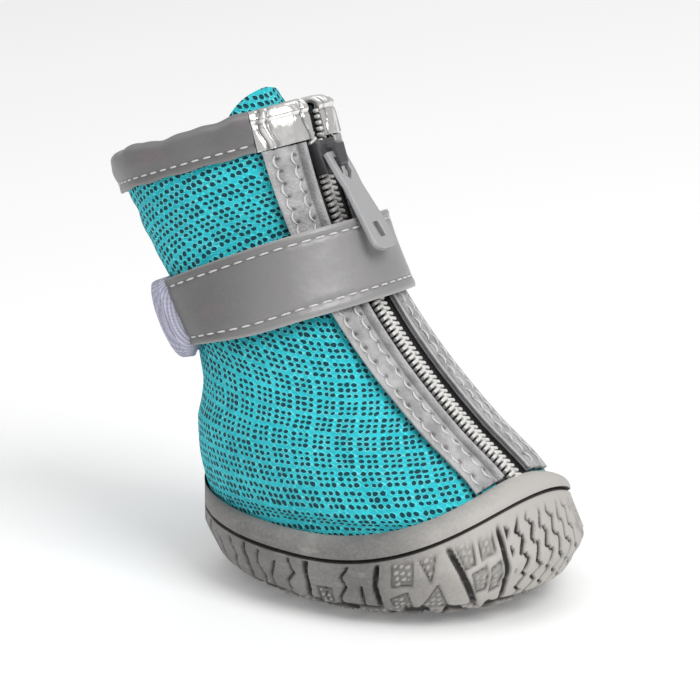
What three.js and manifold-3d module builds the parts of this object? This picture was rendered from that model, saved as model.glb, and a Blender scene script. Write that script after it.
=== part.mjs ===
// Dog boot: a domed rubber cup sole under a hollow air-mesh upper that zips down the front, with grey facings,
// a folded collar binding, silver end caps and a reflective strap held by an elastic round the back.
// Millimetres, toe towards +X, the dog's left towards +Y, +Z up. The origin is on the ground under the middle
// of the tread.

import * as THREE from 'three';
import * as BufferGeometryUtils from 'three/addons/utils/BufferGeometryUtils.js';
import Module from 'manifold-3d';

const wasm = await Module();
wasm.setup();

// ---------------------------------------------------------------------------------------------------------
// Driving dimensions
// ---------------------------------------------------------------------------------------------------------

const clearance = 0.3; // gap between neighbouring pieces
const cupGap = 0.5; // gap between the cup's inner wall and the upper
const degree = Math.PI / 180;

const sole = {
  length: 61.6,
  width: 48,
  squareness: 2.1, // exponent of the plan outline, 2 is an ellipse
  egg: 0.05, // how far the widest place sits towards the toe
  floor: 5, // height of the cup's floor
  lipHeight: 12.4, // height of the rand's lip at the sides
  toeRise: 7.4, // how much higher the lip stands at the toe
  heelRise: 1.2, // and at the heel
  randSide: 2.8, // height of the smooth rand at the sides
  randToe: 1.5, // and at the toe
  lugDepth: 1.3,
  grooveWidth: 0.9,
  ovalShare: 0.5, // the groove round the middle panel, as a share of the outline
  bandHalf: 7.2, // half width of the band that runs on from the oval to toe and heel
};

const cloth = {
  wall: 1.8,
  slotHalf: 3.6, // half width of the opening that the zip closes
  slotFoot: 16.2, // height at which that opening ends at the toe
};

const facing = { inner: 2.9, outer: 8.6, thick: 1.0 };
const zip = { tapeHalf: 3.2, tapeThick: 1.2, chainHalf: 1.75, chainThick: 1.4, openHalf: 1.1 };
const slider = { down: 8.6, long: 5.2, wide: 4.3, thick: 2.2, archLong: 4, archWide: 1.6, archWall: 0.8, hole: 1.7 };
const pull = { long: 16.5, wideTop: 4.2, wideFoot: 5.2, thick: 0.9, bar: 0.9, loop: 3.6, slotLong: 2.6, slotWide: 1.4 };
const collar = { row: 9, deep: 5.4, lining: 4, thick: 0.8 };
const cap = { inner: 1.2, outer: 8.9, thick: 1.0 };
const gusset = { halfAngle: 44 * degree, footRow: 4.4, thick: 1.0, rise: 0.5 };
const strap = { width: 13.4, thick: 1.2, endAngle: 119 * degree, frontRow: 5.86, backRow: 5.28 };
const elastic = { width: 11.4, thick: 1.3, bulge: 2.0 };
const insole = { thick: 2 };

// The last: one row for each section from the cup's floor to just above the collar. heelX, heelZ and toeX, toeZ
// are the section's ends on the centre line, half is its half width, egg moves the widest place forward.
const last = [
  { name: 'floor', heelX: -28.4, heelZ: 5.3, toeX: 25.0, toeZ: 5.3, half: 19.2, egg: 0.06 },
  { name: 'rand', heelX: -31.0, heelZ: 11.6, toeX: 26.6, toeZ: 13.4, half: 20.8, egg: 0.05 },
  { name: 'ball', heelX: -32.2, heelZ: 17.4, toeX: 23.6, toeZ: 19.2, half: 20.6, egg: 0.02 },
  { name: 'instep', heelX: -32.0, heelZ: 23.4, toeX: 14.4, toeZ: 26.0, half: 19.5, egg: -0.02 },
  { name: 'heel_dip', heelX: -31.2, heelZ: 29.6, toeX: 5.6, toeZ: 33.6, half: 18.0, egg: -0.05 },
  { name: 'ankle', heelX: -33.0, heelZ: 36.6, toeX: -1.6, toeZ: 41.4, half: 16.7, egg: -0.08 },
  { name: 'shaft_low', heelX: -37.8, heelZ: 44.0, toeX: -7.4, toeZ: 49.6, half: 15.9, egg: -0.1 },
  { name: 'shaft_mid', heelX: -42.6, heelZ: 50.0, toeX: -11.2, toeZ: 57.4, half: 15.4, egg: -0.12 },
  { name: 'shaft_high', heelX: -46.2, heelZ: 55.6, toeX: -14.0, toeZ: 65.0, half: 15.0, egg: -0.13 },
  { name: 'collar', heelX: -48.6, heelZ: 60.0, toeX: -16.0, toeZ: 71.6, half: 14.8, egg: -0.13 },
  { name: 'above', heelX: -51.0, heelZ: 65.2, toeX: -18.0, toeZ: 79.2, half: 14.8, egg: -0.13 },
];

const colours = {
  rubber: 0x8a8783,
  mesh: 0x3bb8c8,
  facing: 0xb4b3b2,
  reflective: 0x7d7b7b,
  silver: 0xe6e4e0,
  tape: 0x2b2b2d,
  teeth: 0xd4d3d0,
  gunmetal: 0x56565a,
  elastic: 0xd0cce0,
  insole: 0x4b4b4d,
};

// ---------------------------------------------------------------------------------------------------------
// Small helpers
// ---------------------------------------------------------------------------------------------------------

function mix(a, b, t) {
  return a + (b - a) * t;
}

function ramp(low, high, value) {
  const t = THREE.MathUtils.clamp((value - low) / (high - low), 0, 1);
  return t * t * (3 - 2 * t);
}

function steps(from, to, count) {
  return Array.from({ length: count + 1 }, (_, i) => mix(from, to, i / count));
}

// Signed power, which squares off an ellipse.
function bowed(value, squareness) {
  return Math.sign(value) * Math.abs(value) ** (2 / squareness);
}

// Finds where a rising function reaches a value.
function solve(rising, target, low, high) {
  let from = low;
  let to = high;
  for (let i = 0; i < 40; i += 1) {
    const middle = (from + to) / 2;
    if (rising(middle) < target) from = middle;
    else to = middle;
  }
  return (from + to) / 2;
}

// ---------------------------------------------------------------------------------------------------------
// The last's surface
// ---------------------------------------------------------------------------------------------------------

// Reads one column of the table at a row between rows, on a smooth curve through its values.
function read(column, row) {
  const lastRow = last.length - 1;
  const index = Math.min(Math.max(Math.floor(row), 0), lastRow - 1);
  const t = row - index;
  const at = (i) => last[Math.min(Math.max(i, 0), lastRow)][column];
  const start = at(index);
  const end = at(index + 1);
  const slopeStart = index === 0 ? end - start : (end - at(index - 1)) / 2;
  const slopeEnd = index + 1 === lastRow ? end - start : (at(index + 2) - start) / 2;
  const t2 = t * t;
  const t3 = t2 * t;
  return start * (2 * t3 - 3 * t2 + 1) + slopeStart * (t3 - 2 * t2 + t)
    + end * (3 * t2 - 2 * t3) + slopeEnd * (t3 - t2);
}

// A point on the bare last. The angle runs from the toe (0) by the left side to the heel (PI).
function lastPoint(row, angle) {
  const heelX = read('heelX', row);
  const heelZ = read('heelZ', row);
  const toeX = read('toeX', row);
  const toeZ = read('toeZ', row);
  const along = bowed(Math.cos(angle), 2.05);
  const across = bowed(Math.sin(angle), 2.05) * (1 + read('egg', row) * Math.cos(angle));
  return new THREE.Vector3(
    (heelX + toeX) / 2 + (along * (toeX - heelX)) / 2,
    read('half', row) * across,
    (heelZ + toeZ) / 2 + (along * (toeZ - heelZ)) / 2,
  );
}

function lastNormal(row, angle) {
  const step = 0.01;
  const around = lastPoint(row, angle + step).sub(lastPoint(row, angle - step));
  const up = lastPoint(row + step, angle).sub(lastPoint(row - step, angle));
  return around.cross(up).normalize();
}

// A point standing off the last by a distance, inwards when it is negative.
function skin(row, angle, offset) {
  return lastPoint(row, angle).addScaledVector(lastNormal(row, angle), offset);
}

// The row at which the last passes a height, at one angle.
function rowAtHeight(angle, height) {
  return solve((row) => lastPoint(row, angle).z, height, 0, last.length - 1);
}

// The angle at which a row is a distance to the left of the centre line, near the toe.
function angleAtAcross(row, across) {
  const angle = solve((a) => lastPoint(row, a).y, Math.abs(across), 0, Math.PI / 2);
  return across < 0 ? -angle : angle;
}

// The row that lies a distance below another one, measured up the surface.
function rowBelow(row, angle, distance) {
  const speed = lastPoint(row + 0.05, angle).distanceTo(lastPoint(row - 0.05, angle)) / 0.1;
  return row - distance / speed;
}

// ---------------------------------------------------------------------------------------------------------
// Solids
// ---------------------------------------------------------------------------------------------------------

function meshFrom(name, points, triangles, colour, roughness, metalness = 0) {
  const geometry = new THREE.BufferGeometry();
  const positions = new Float32Array(points.flatMap((point) => [point.x, point.y, point.z]));
  geometry.setAttribute('position', new THREE.BufferAttribute(positions, 3));
  geometry.setIndex(triangles);
  return dressed(name, geometry, colour, roughness, metalness);
}

function dressed(name, geometry, colour, roughness, metalness = 0) {
  const bare = new THREE.BufferGeometry();
  bare.setAttribute('position', geometry.getAttribute('position'));
  if (geometry.index) bare.setIndex(geometry.index);
  const merged = BufferGeometryUtils.mergeVertices(bare, 1e-4);
  merged.computeVertexNormals();
  const material = new THREE.MeshStandardMaterial({ color: colour, roughness, metalness });
  const mesh = new THREE.Mesh(merged, material);
  mesh.name = name;
  return mesh;
}

function solidOf(mesh) {
  const bare = new THREE.BufferGeometry();
  bare.setAttribute('position', mesh.geometry.getAttribute('position'));
  bare.setIndex(mesh.geometry.index);
  const merged = BufferGeometryUtils.mergeVertices(bare, 1e-4);
  return new wasm.Manifold(new wasm.Mesh({
    numProp: 3,
    vertProperties: new Float32Array(merged.getAttribute('position').array),
    triVerts: new Uint32Array(merged.index.array),
  }));
}

function geometryOf(solid) {
  const cut = solid.getMesh();
  const geometry = new THREE.BufferGeometry();
  geometry.setAttribute('position', new THREE.BufferAttribute(new Float32Array(cut.vertProperties), 3));
  geometry.setIndex([...cut.triVerts]);
  return geometry;
}

// A sheet with thickness: a grid of cells, some of them left out. place(column, row, side) gives the outer
// point for side 1 and the inner one for side 0. A closed sheet joins its last column to its first.
function sheetSolid(name, columns, rows, place, has, closed, finish) {
  const points = [];
  for (let j = 0; j < rows; j += 1) {
    for (let i = 0; i < columns; i += 1) {
      points.push(place(i, j, 1), place(i, j, 0));
    }
  }
  const across = closed ? columns : columns - 1;
  const id = (i, j, side) => 2 * (j * columns + (i % columns)) + (side ? 0 : 1);
  const filled = (i, j) => {
    if (j < 0 || j >= rows - 1) return false;
    if (closed) return has((i + columns) % columns, j);
    return i >= 0 && i < across && has(i, j);
  };
  const triangles = [];
  const quad = (a, b, c, d) => triangles.push(a, b, c, a, c, d);
  for (let j = 0; j < rows - 1; j += 1) {
    for (let i = 0; i < across; i += 1) {
      if (!filled(i, j)) continue;
      quad(id(i, j, 1), id(i + 1, j, 1), id(i + 1, j + 1, 1), id(i, j + 1, 1));
      quad(id(i, j, 0), id(i, j + 1, 0), id(i + 1, j + 1, 0), id(i + 1, j, 0));
      if (!filled(i, j - 1)) quad(id(i, j, 0), id(i + 1, j, 0), id(i + 1, j, 1), id(i, j, 1));
      if (!filled(i, j + 1)) quad(id(i, j + 1, 1), id(i + 1, j + 1, 1), id(i + 1, j + 1, 0), id(i, j + 1, 0));
      if (!filled(i - 1, j)) quad(id(i, j, 1), id(i, j + 1, 1), id(i, j + 1, 0), id(i, j, 0));
      if (!filled(i + 1, j)) {
        quad(id(i + 1, j, 0), id(i + 1, j + 1, 0), id(i + 1, j + 1, 1), id(i + 1, j, 1));
      }
    }
  }
  return meshFrom(name, points, triangles, finish.colour, finish.roughness, finish.metalness);
}

// A ring profile carried through a list of stations and closed at both ends. Seen along the way of travel the
// profile runs clockwise.
function sweptSolid(name, stations, corners, place, finish) {
  const points = [];
  for (let i = 0; i < stations; i += 1) {
    for (let k = 0; k < corners; k += 1) points.push(place(i, k));
  }
  const triangles = [];
  for (let i = 0; i < stations - 1; i += 1) {
    for (let k = 0; k < corners; k += 1) {
      const a = i * corners + k;
      const b = i * corners + ((k + 1) % corners);
      triangles.push(a, a + corners, b + corners, a, b + corners, b);
    }
  }
  const flat = (i) => Array.from({ length: corners }, (_, k) => i * corners + k);
  const profile = place.outline.map((corner) => new THREE.Vector2(corner[0], corner[1]));
  const faces = THREE.ShapeUtils.triangulateShape(profile, []);
  if (THREE.ShapeUtils.isClockWise(profile)) faces.forEach((face) => face.reverse());
  const start = flat(0);
  const end = flat(stations - 1);
  for (const [a, b, c] of faces) {
    triangles.push(start[a], start[b], start[c], end[a], end[c], end[b]);
  }
  return meshFrom(name, points, triangles, finish.colour, finish.roughness, finish.metalness);
}

// ---------------------------------------------------------------------------------------------------------
// Outsole: a cup lofted round the plan outline, its tread cut into lugs by grooves
// ---------------------------------------------------------------------------------------------------------

function soleOutline(angle, share) {
  const along = bowed(Math.cos(angle), sole.squareness);
  const across = bowed(Math.sin(angle), sole.squareness) * (1 + sole.egg * Math.cos(angle));
  return new THREE.Vector2((share * along * sole.length) / 2, (share * across * sole.width) / 2);
}

// Nought round the heel and sides, rising to one at the toe.
function toeward(angle) {
  return Math.max(0, Math.cos(angle)) ** 2.4;
}

function lipHeight(angle) {
  const heelward = Math.max(0, -Math.cos(angle)) ** 2;
  return sole.lipHeight + sole.toeRise * toeward(angle) + sole.heelRise * heelward;
}

function grooveHeight(angle) {
  return lipHeight(angle) - mix(sole.randSide, sole.randToe, toeward(angle));
}

// The tread's skin, one row from the middle of the underside to the lip: share of the outline and height.
const treadRows = [
  { share: 0.3, height: 0 },
  { share: 0.58, height: 0 },
  { share: 0.72, height: 0.5 },
  { share: 0.83, height: 1.6 },
  { share: 0.91, height: 3.3 },
  { share: 0.96, height: 5.8 },
];

// The cup at its full size, or, for the floor of the grooves, set in and filled to the brim.
function cupMesh(name, inset, filled) {
  const columns = 64;
  const rings = [];
  const ring = (place) => rings.push(Array.from({ length: columns }, (_, i) => place((2 * Math.PI * i) / columns)));
  const plan = (angle, share, height) => {
    const point = soleOutline(angle, share);
    return new THREE.Vector3(point.x, point.y, height);
  };
  const reach = (share) => share - (2 * inset) / (sole.length + sole.width) * ramp(0.5, 1, share) * 2;
  for (const row of treadRows) {
    const lift = inset * (1 - 0.9 * ramp(0.8, 1, row.share));
    ring((angle) => {
      const spring = 1.2 * ramp(0.5, 1, row.share) * toeward(angle);
      return plan(angle, reach(row.share), row.height + lift + spring);
    });
  }
  const bulge = (angle) => mix(1, 0.89, toeward(angle));
  ring((angle) => plan(angle, reach(1), mix(8.2, 10.5, toeward(angle))));
  ring((angle) => plan(angle, reach(bulge(angle)), grooveHeight(angle) - 0.35));
  ring((angle) => plan(angle, reach(bulge(angle) - 0.025), grooveHeight(angle)));
  ring((angle) => plan(angle, reach(bulge(angle)), grooveHeight(angle) + 0.35));
  const lipAt = (angle) => {
    const row = rowAtHeight(angle, lipHeight(angle));
    return skin(row, angle, cupGap);
  };
  for (const t of [0.35, 0.7, 1]) {
    ring((angle) => {
      const foot = plan(angle, reach(bulge(angle)), grooveHeight(angle) + 0.35);
      const lip = lipAt(angle);
      const shoulder = foot.clone().setZ(mix(foot.z, lip.z + 0.3, 0.9));
      const nearLip = lip.clone().add(new THREE.Vector3(0, 0, 0.25));
      return foot.multiplyScalar((1 - t) ** 2)
        .addScaledVector(shoulder, 2 * t * (1 - t))
        .addScaledVector(nearLip, t * t);
    });
  }
  if (!filled) {
    for (const t of [0.25, 0.55, 0.8, 1]) {
      ring((angle) => {
        const height = mix(lipHeight(angle) - 0.3, sole.floor + 0.3, t);
        return skin(rowAtHeight(angle, height), angle, cupGap);
      });
    }
    ring((angle) => skin(0, angle, cupGap).setZ(sole.floor));
  }
  const points = rings.flat();
  const below = points.push(new THREE.Vector3(0, 0, inset)) - 1;
  const above = points.push(new THREE.Vector3(0, 0, filled ? sole.lipHeight : sole.floor)) - 1;
  const triangles = [];
  for (let i = 0; i < columns; i += 1) {
    const next = (i + 1) % columns;
    triangles.push(below, next, i);
    for (let j = 0; j < rings.length - 1; j += 1) {
      const a = j * columns + i;
      const b = j * columns + next;
      triangles.push(a, b, b + columns, a, b + columns, a + columns);
    }
    const top = (rings.length - 1) * columns;
    triangles.push(above, top + i, top + next);
  }
  return meshFrom(name, points, triangles, colours.rubber, 0.82);
}

// Bars that stand up through the tread where its grooves run: a bar from one plan point to another.
function grooveBar(fromX, fromY, toX, toY, top) {
  const length = Math.hypot(toX - fromX, toY - fromY);
  const bar = new THREE.BoxGeometry(length, sole.grooveWidth, top + 1);
  bar.rotateZ(Math.atan2(toY - fromY, toX - fromX));
  bar.translate((fromX + toX) / 2, (fromY + toY) / 2, (top - 1) / 2);
  return solidOf(dressed('bar', bar, colours.rubber, 1));
}

function ovalBar() {
  const loop = (share) => steps(0, 2 * Math.PI, 36).slice(1).map((angle) => soleOutline(angle, share));
  const shape = new THREE.Shape(loop(sole.ovalShare));
  shape.holes.push(new THREE.Path(loop(sole.ovalShare - 0.035)));
  const ring = new THREE.ExtrudeGeometry(shape, { depth: 3, bevelEnabled: false });
  ring.translate(0, 0, -1);
  return solidOf(dressed('oval', ring, colours.rubber, 1));
}

// Main grooves from the oval to the rand, by their angle on the underside.
const sectorAngles = [48, 75, 108, 138].map((value) => value * degree);

function buildOutsole() {
  const bars = [ovalBar()];
  for (const side of [1, -1]) {
    for (const angle of sectorAngles) {
      const inner = soleOutline(angle, sole.ovalShare - 0.02);
      const outer = soleOutline(angle, 1.1);
      bars.push(grooveBar(inner.x, side * inner.y, outer.x, side * outer.y, grooveHeight(angle) - 0.4));
    }
    const across = side * sole.bandHalf;
    bars.push(grooveBar(13.6, across, 34, across * 1.1, sole.lipHeight + 1));
    bars.push(grooveBar(-14.2, across, -34, across * 1.1, sole.lipHeight - 2.6));
  }
  const grooves = bars.reduce((all, bar) => all.add(bar));
  const core = solidOf(cupMesh('core', sole.lugDepth, true));
  const tread = solidOf(cupMesh('tread', 0, false)).subtract(grooves.subtract(core));
  return dressed('outsole', geometryOf(tread), colours.rubber, 0.82);
}

// ---------------------------------------------------------------------------------------------------------
// Upper, insole and gusset
// ---------------------------------------------------------------------------------------------------------

const meshFinish = { colour: colours.mesh, roughness: 0.9 };

function buildUpper() {
  const columns = 46;
  const slotSteps = 4;
  const slotRow = rowAtHeight(0, cloth.slotFoot);
  const levels = [...steps(0, slotRow, slotSteps), ...steps(slotRow, collar.row, 14).slice(1)];
  const place = (i, j, side) => {
    const edge = angleAtAcross(levels[j], cloth.slotHalf);
    const angle = mix(edge, 2 * Math.PI - edge, i / (columns - 1));
    return skin(levels[j], angle, side ? 0 : -cloth.wall);
  };
  const has = (i, j) => i < columns - 1 || j < slotSteps;
  return sheetSolid('upper', columns, levels.length, place, has, true, meshFinish);
}

function buildInsole() {
  const edge = steps(0, 2 * Math.PI, 40).slice(1).map((angle) => {
    const point = skin(0, angle, -cloth.wall - clearance);
    return new THREE.Vector2(point.x, point.y);
  });
  const pad = new THREE.ExtrudeGeometry(new THREE.Shape(edge), { depth: insole.thick, bevelEnabled: false });
  pad.translate(0, 0, sole.floor + clearance);
  return dressed('insole', pad, colours.insole, 0.95);
}

// The gusset hangs behind the zip and leans away from it towards its rounded top.
function buildGusset() {
  const columns = 11;
  const rows = 13;
  const place = (i, j, side) => {
    const across = mix(-1, 1, i / (columns - 1));
    const top = collar.row - 0.35 + (gusset.rise + 0.35) * (1 - across ** 6) ** 0.5;
    const row = mix(gusset.footRow, top, j / (rows - 1));
    const lean = 0.5 + 1.6 * ramp(6.5, 8.2, row) + 3.8 * ramp(8, 9.8, row);
    return skin(row, across * gusset.halfAngle, -cloth.wall - lean - (side ? 0 : gusset.thick));
  };
  return sheetSolid('gusset', columns, rows, place, () => true, false, meshFinish);
}

// ---------------------------------------------------------------------------------------------------------
// Zip: tape, chain and facings
// ---------------------------------------------------------------------------------------------------------

// The row, at an angle, that lies a distance down from the collar's edge.
function rowDown(angle, distance) {
  return rowBelow(collar.row, angle, distance);
}

function buildTape() {
  const levels = [...steps(rowAtHeight(0, cloth.slotFoot) + 0.06, rowDown(0, slider.down), 12),
    ...steps(rowDown(0, slider.down), collar.row, 4).slice(1)];
  const place = (i, j, side) => {
    const open = 0.15 + zip.openHalf * ramp(12, 16, j);
    const across = [-zip.tapeHalf, -open, open, zip.tapeHalf][i];
    const offset = -clearance - (side ? 0 : zip.tapeThick);
    return skin(levels[j], angleAtAcross(levels[j], across), offset);
  };
  const has = (i, j) => i !== 1 || j < 12;
  const finish = { colour: colours.tape, roughness: 0.85 };
  return sheetSolid('zip_tape', 4, levels.length, place, has, false, finish);
}

function buildChain() {
  const foot = rowAtHeight(0, lipHeight(0) + 0.9);
  const levels = steps(foot, rowDown(0, slider.down + slider.long / 2 + clearance), 14);
  const place = (i, j, side) => {
    const angle = angleAtAcross(levels[j], [-1, 0, 1][i] * zip.chainHalf);
    return skin(levels[j], angle, side ? zip.chainThick : 0);
  };
  const finish = { colour: colours.teeth, roughness: 0.4, metalness: 0.3 };
  return sheetSolid('zip_chain', 3, levels.length, place, () => true, false, finish);
}

function buildFacing(name, side) {
  const columns = 4;
  const rows = 17;
  const place = (i, j, outer) => {
    const from = side > 0 ? facing.inner : -facing.outer;
    const across = mix(from, from + facing.outer - facing.inner, i / (columns - 1));
    const footAngle = angleAtAcross(2, across);
    const foot = rowAtHeight(footAngle, lipHeight(footAngle) + 0.4);
    const row = mix(foot, rowDown(0, collar.deep + clearance), j / (rows - 1));
    return skin(row, angleAtAcross(row, across), clearance + (outer ? facing.thick : 0));
  };
  const finish = { colour: colours.facing, roughness: 0.6 };
  return sheetSolid(name, columns, rows, place, () => true, false, finish);
}

// ---------------------------------------------------------------------------------------------------------
// Collar: the binding and its end caps are folded over the edge
// ---------------------------------------------------------------------------------------------------------

// The fold's section: how far each corner stands off the last, and how far down from the collar's edge.
function foldSection(thick, deep, lining) {
  const outside = clearance + thick;
  const inside = -cloth.wall - clearance;
  return [
    [clearance, deep],
    [outside, deep],
    [outside, -clearance - thick * 0.5],
    [outside - thick * 0.5, -clearance - thick],
    [inside - thick * 0.5, -clearance - thick],
    [inside - thick, -clearance - thick * 0.5],
    [inside - thick, lining],
    [inside, lining],
    [inside, -clearance],
    [clearance, -clearance],
  ];
}

function buildFold(name, angles, thick, finish) {
  const section = foldSection(thick, collar.deep, collar.lining);
  const place = (i, k) => {
    const [offset, down] = section[k];
    return skin(rowDown(angles[i], down), angles[i], offset);
  };
  place.outline = section;
  return sweptSolid(name, angles.length, section.length, place, finish);
}

function buildCollar() {
  const reflective = { colour: colours.reflective, roughness: 0.45 };
  const silver = { colour: colours.silver, roughness: 0.2, metalness: 0.8 };
  const start = angleAtAcross(collar.row, cap.outer + clearance);
  const capStart = angleAtAcross(collar.row, cap.inner);
  const capEnd = angleAtAcross(collar.row, cap.outer);
  return [
    buildFold('collar_binding', steps(start, 2 * Math.PI - start, 34), collar.thick, reflective),
    buildFold('collar_cap_left', steps(capStart, capEnd, 4), cap.thick, silver),
    buildFold('collar_cap_right', steps(-capEnd, -capStart, 4), cap.thick, silver),
  ];
}

// ---------------------------------------------------------------------------------------------------------
// Strap and elastic
// ---------------------------------------------------------------------------------------------------------

function strapRow(angle) {
  return mix(strap.frontRow, strap.backRow, (1 - Math.cos(angle)) / 2);
}

// How far the strap stands off the last: clear of the facings in front, more so at its top edge.
function strapStand(angle, up) {
  const turn = Math.abs(angle);
  const front = mix(1.65, 0.6, ramp(0.75, 1.4, turn));
  return front + 2.2 * up * ramp(1.5, 0.3, turn);
}

function strapPoint(angle, up, extra) {
  const middle = strapRow(angle);
  const width = strap.width * (1 - 0.12 * ramp(1.2, 2.1, Math.abs(angle)));
  const row = rowBelow(middle, angle, (0.5 - up) * width);
  return skin(row, angle, strapStand(angle, up) + extra);
}

function buildStrap() {
  const columns = 31;
  const place = (i, j, side) => {
    const angle = mix(-strap.endAngle, strap.endAngle, i / (columns - 1));
    return strapPoint(angle, j / 3, side ? strap.thick : 0);
  };
  const finish = { colour: colours.reflective, roughness: 0.45 };
  return sheetSolid('strap', columns, 4, place, () => true, false, finish);
}

function buildElastic() {
  const columns = 13;
  const start = strap.endAngle + 1.4 * degree;
  const place = (i, j, side) => {
    const t = i / (columns - 1);
    const angle = mix(start, 2 * Math.PI - start, t);
    const middle = strapRow(angle);
    const row = rowBelow(middle, angle, (0.5 - j / 3) * elastic.width);
    const bulge = elastic.bulge * Math.sin(Math.PI * t) ** 0.6 * Math.sin(Math.PI * mix(0.2, 0.8, j / 3));
    return skin(row, angle, 0.6 + bulge + (side ? elastic.thick : 0));
  };
  const finish = { colour: colours.elastic, roughness: 0.9 };
  return sheetSolid('elastic_back', columns, 4, place, () => true, false, finish);
}

// ---------------------------------------------------------------------------------------------------------
// Slider and pull
// ---------------------------------------------------------------------------------------------------------

// A frame on the centre line: x down the zip, y to the left, z out of the boot.
function frameAt(origin, down) {
  const left = new THREE.Vector3(0, 1, 0);
  const out = down.clone().cross(left).normalize();
  const frame = new THREE.Matrix4().makeBasis(down, left, out);
  return frame.setPosition(origin);
}

const sliderRow = rowDown(0, slider.down);
const sliderDown = lastPoint(sliderRow - 0.05, 0).sub(lastPoint(sliderRow + 0.05, 0)).normalize();
const sliderFrame = frameAt(lastPoint(sliderRow, 0), sliderDown);
const pivotHeight = slider.thick + slider.hole / 2;
const pivot = new THREE.Vector3(0, 0, pivotHeight).applyMatrix4(sliderFrame);

function buildSlider() {
  const half = slider.wide / 2;
  const body = new THREE.Shape();
  body.moveTo(-slider.long / 2, -half * 0.6);
  body.quadraticCurveTo(-slider.long / 2, -half, -slider.long / 4, -half);
  body.lineTo(slider.long / 2, -half * 0.78);
  body.lineTo(slider.long / 2, half * 0.78);
  body.lineTo(-slider.long / 4, half);
  body.quadraticCurveTo(-slider.long / 2, half, -slider.long / 2, half * 0.6);
  const plate = new THREE.ExtrudeGeometry(body, {
    depth: slider.thick, bevelEnabled: false, curveSegments: 4,
  });
  const archHalf = slider.archLong / 2;
  const archTop = slider.thick + slider.hole + slider.archWall;
  const arch = new THREE.Shape();
  arch.moveTo(-archHalf, slider.thick - 0.2);
  arch.lineTo(-archHalf + slider.archWall, slider.thick - 0.2);
  arch.lineTo(-archHalf + slider.archWall, slider.thick + slider.hole);
  arch.lineTo(archHalf - slider.archWall, slider.thick + slider.hole);
  arch.lineTo(archHalf - slider.archWall, slider.thick - 0.2);
  arch.lineTo(archHalf, slider.thick - 0.2);
  arch.lineTo(archHalf, archTop - 0.5);
  arch.lineTo(archHalf - 0.5, archTop);
  arch.lineTo(-archHalf + 0.5, archTop);
  arch.lineTo(-archHalf, archTop - 0.5);
  const bridge = new THREE.ExtrudeGeometry(arch, { depth: slider.archWide, bevelEnabled: false });
  bridge.rotateX(Math.PI / 2);
  bridge.translate(0, slider.archWide / 2, 0);
  const joined = solidOf(dressed('plate', plate, colours.gunmetal, 1))
    .add(solidOf(dressed('bridge', bridge, colours.gunmetal, 1)));
  const mesh = dressed('zip_slider', geometryOf(joined), colours.gunmetal, 0.3, 0.9);
  mesh.applyMatrix4(sliderFrame);
  return mesh;
}

// The pull hangs from its pivot as steeply as the strap beneath it allows.
function pullDirection() {
  let steepest = -Math.PI;
  for (const up of steps(1, 0.2, 16)) {
    const reach = strapPoint(0, up, strap.thick).sub(pivot);
    const distance = reach.length();
    if (distance > pull.long) continue;
    const spare = Math.asin((pull.thick / 2 + clearance + 0.1) / distance);
    steepest = Math.max(steepest, Math.atan2(reach.x, -reach.z) + spare);
  }
  return new THREE.Vector3(Math.sin(steepest), 0, -Math.cos(steepest));
}

function buildPull() {
  const top = pull.wideTop / 2;
  const foot = pull.wideFoot / 2;
  const tab = new THREE.Shape();
  tab.moveTo(-pull.bar / 2, -top);
  tab.lineTo(pull.loop, -top);
  tab.lineTo(pull.loop + 2, -foot * 0.72);
  tab.lineTo(pull.long - 2, -foot);
  tab.quadraticCurveTo(pull.long, -foot, pull.long, -foot * 0.3);
  tab.lineTo(pull.long, foot * 0.3);
  tab.quadraticCurveTo(pull.long, foot, pull.long - 2, foot);
  tab.lineTo(pull.loop + 2, foot * 0.72);
  tab.lineTo(pull.loop, top);
  tab.lineTo(-pull.bar / 2, top);
  const loop = new THREE.Path();
  loop.moveTo(pull.bar / 2, -top + 0.9);
  loop.lineTo(pull.bar / 2, top - 0.9);
  loop.lineTo(pull.loop - 0.4, top - 0.9);
  loop.lineTo(pull.loop + 1, 0);
  loop.lineTo(pull.loop - 0.4, -top + 0.9);
  tab.holes.push(loop);
  const slot = new THREE.Path();
  const slotEnd = pull.long - 1.9;
  slot.moveTo(slotEnd - pull.slotLong, -pull.slotWide / 2);
  slot.lineTo(slotEnd - pull.slotLong, pull.slotWide / 2);
  slot.lineTo(slotEnd, pull.slotWide / 2);
  slot.lineTo(slotEnd, -pull.slotWide / 2);
  tab.holes.push(slot);
  const plate = new THREE.ExtrudeGeometry(tab, { depth: pull.thick, bevelEnabled: false, curveSegments: 4 });
  plate.translate(0, 0, -pull.thick / 2);
  const mesh = dressed('zip_pull', plate, colours.silver, 0.3, 0.9);
  mesh.applyMatrix4(frameAt(pivot, pullDirection()));
  return mesh;
}

// ---------------------------------------------------------------------------------------------------------
// The boot
// ---------------------------------------------------------------------------------------------------------

const boot = new THREE.Group();
boot.add(buildOutsole(), buildInsole(), buildUpper(), buildGusset());
boot.add(buildTape(), buildChain(), buildFacing('zip_facing_left', 1), buildFacing('zip_facing_right', -1));
boot.add(...buildCollar(), buildStrap(), buildElastic());
boot.add(buildSlider(), buildPull());

export default boot;
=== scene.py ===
import logging
import math
from dataclasses import dataclass
from enum import Enum
from typing import Callable, Sequence

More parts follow.
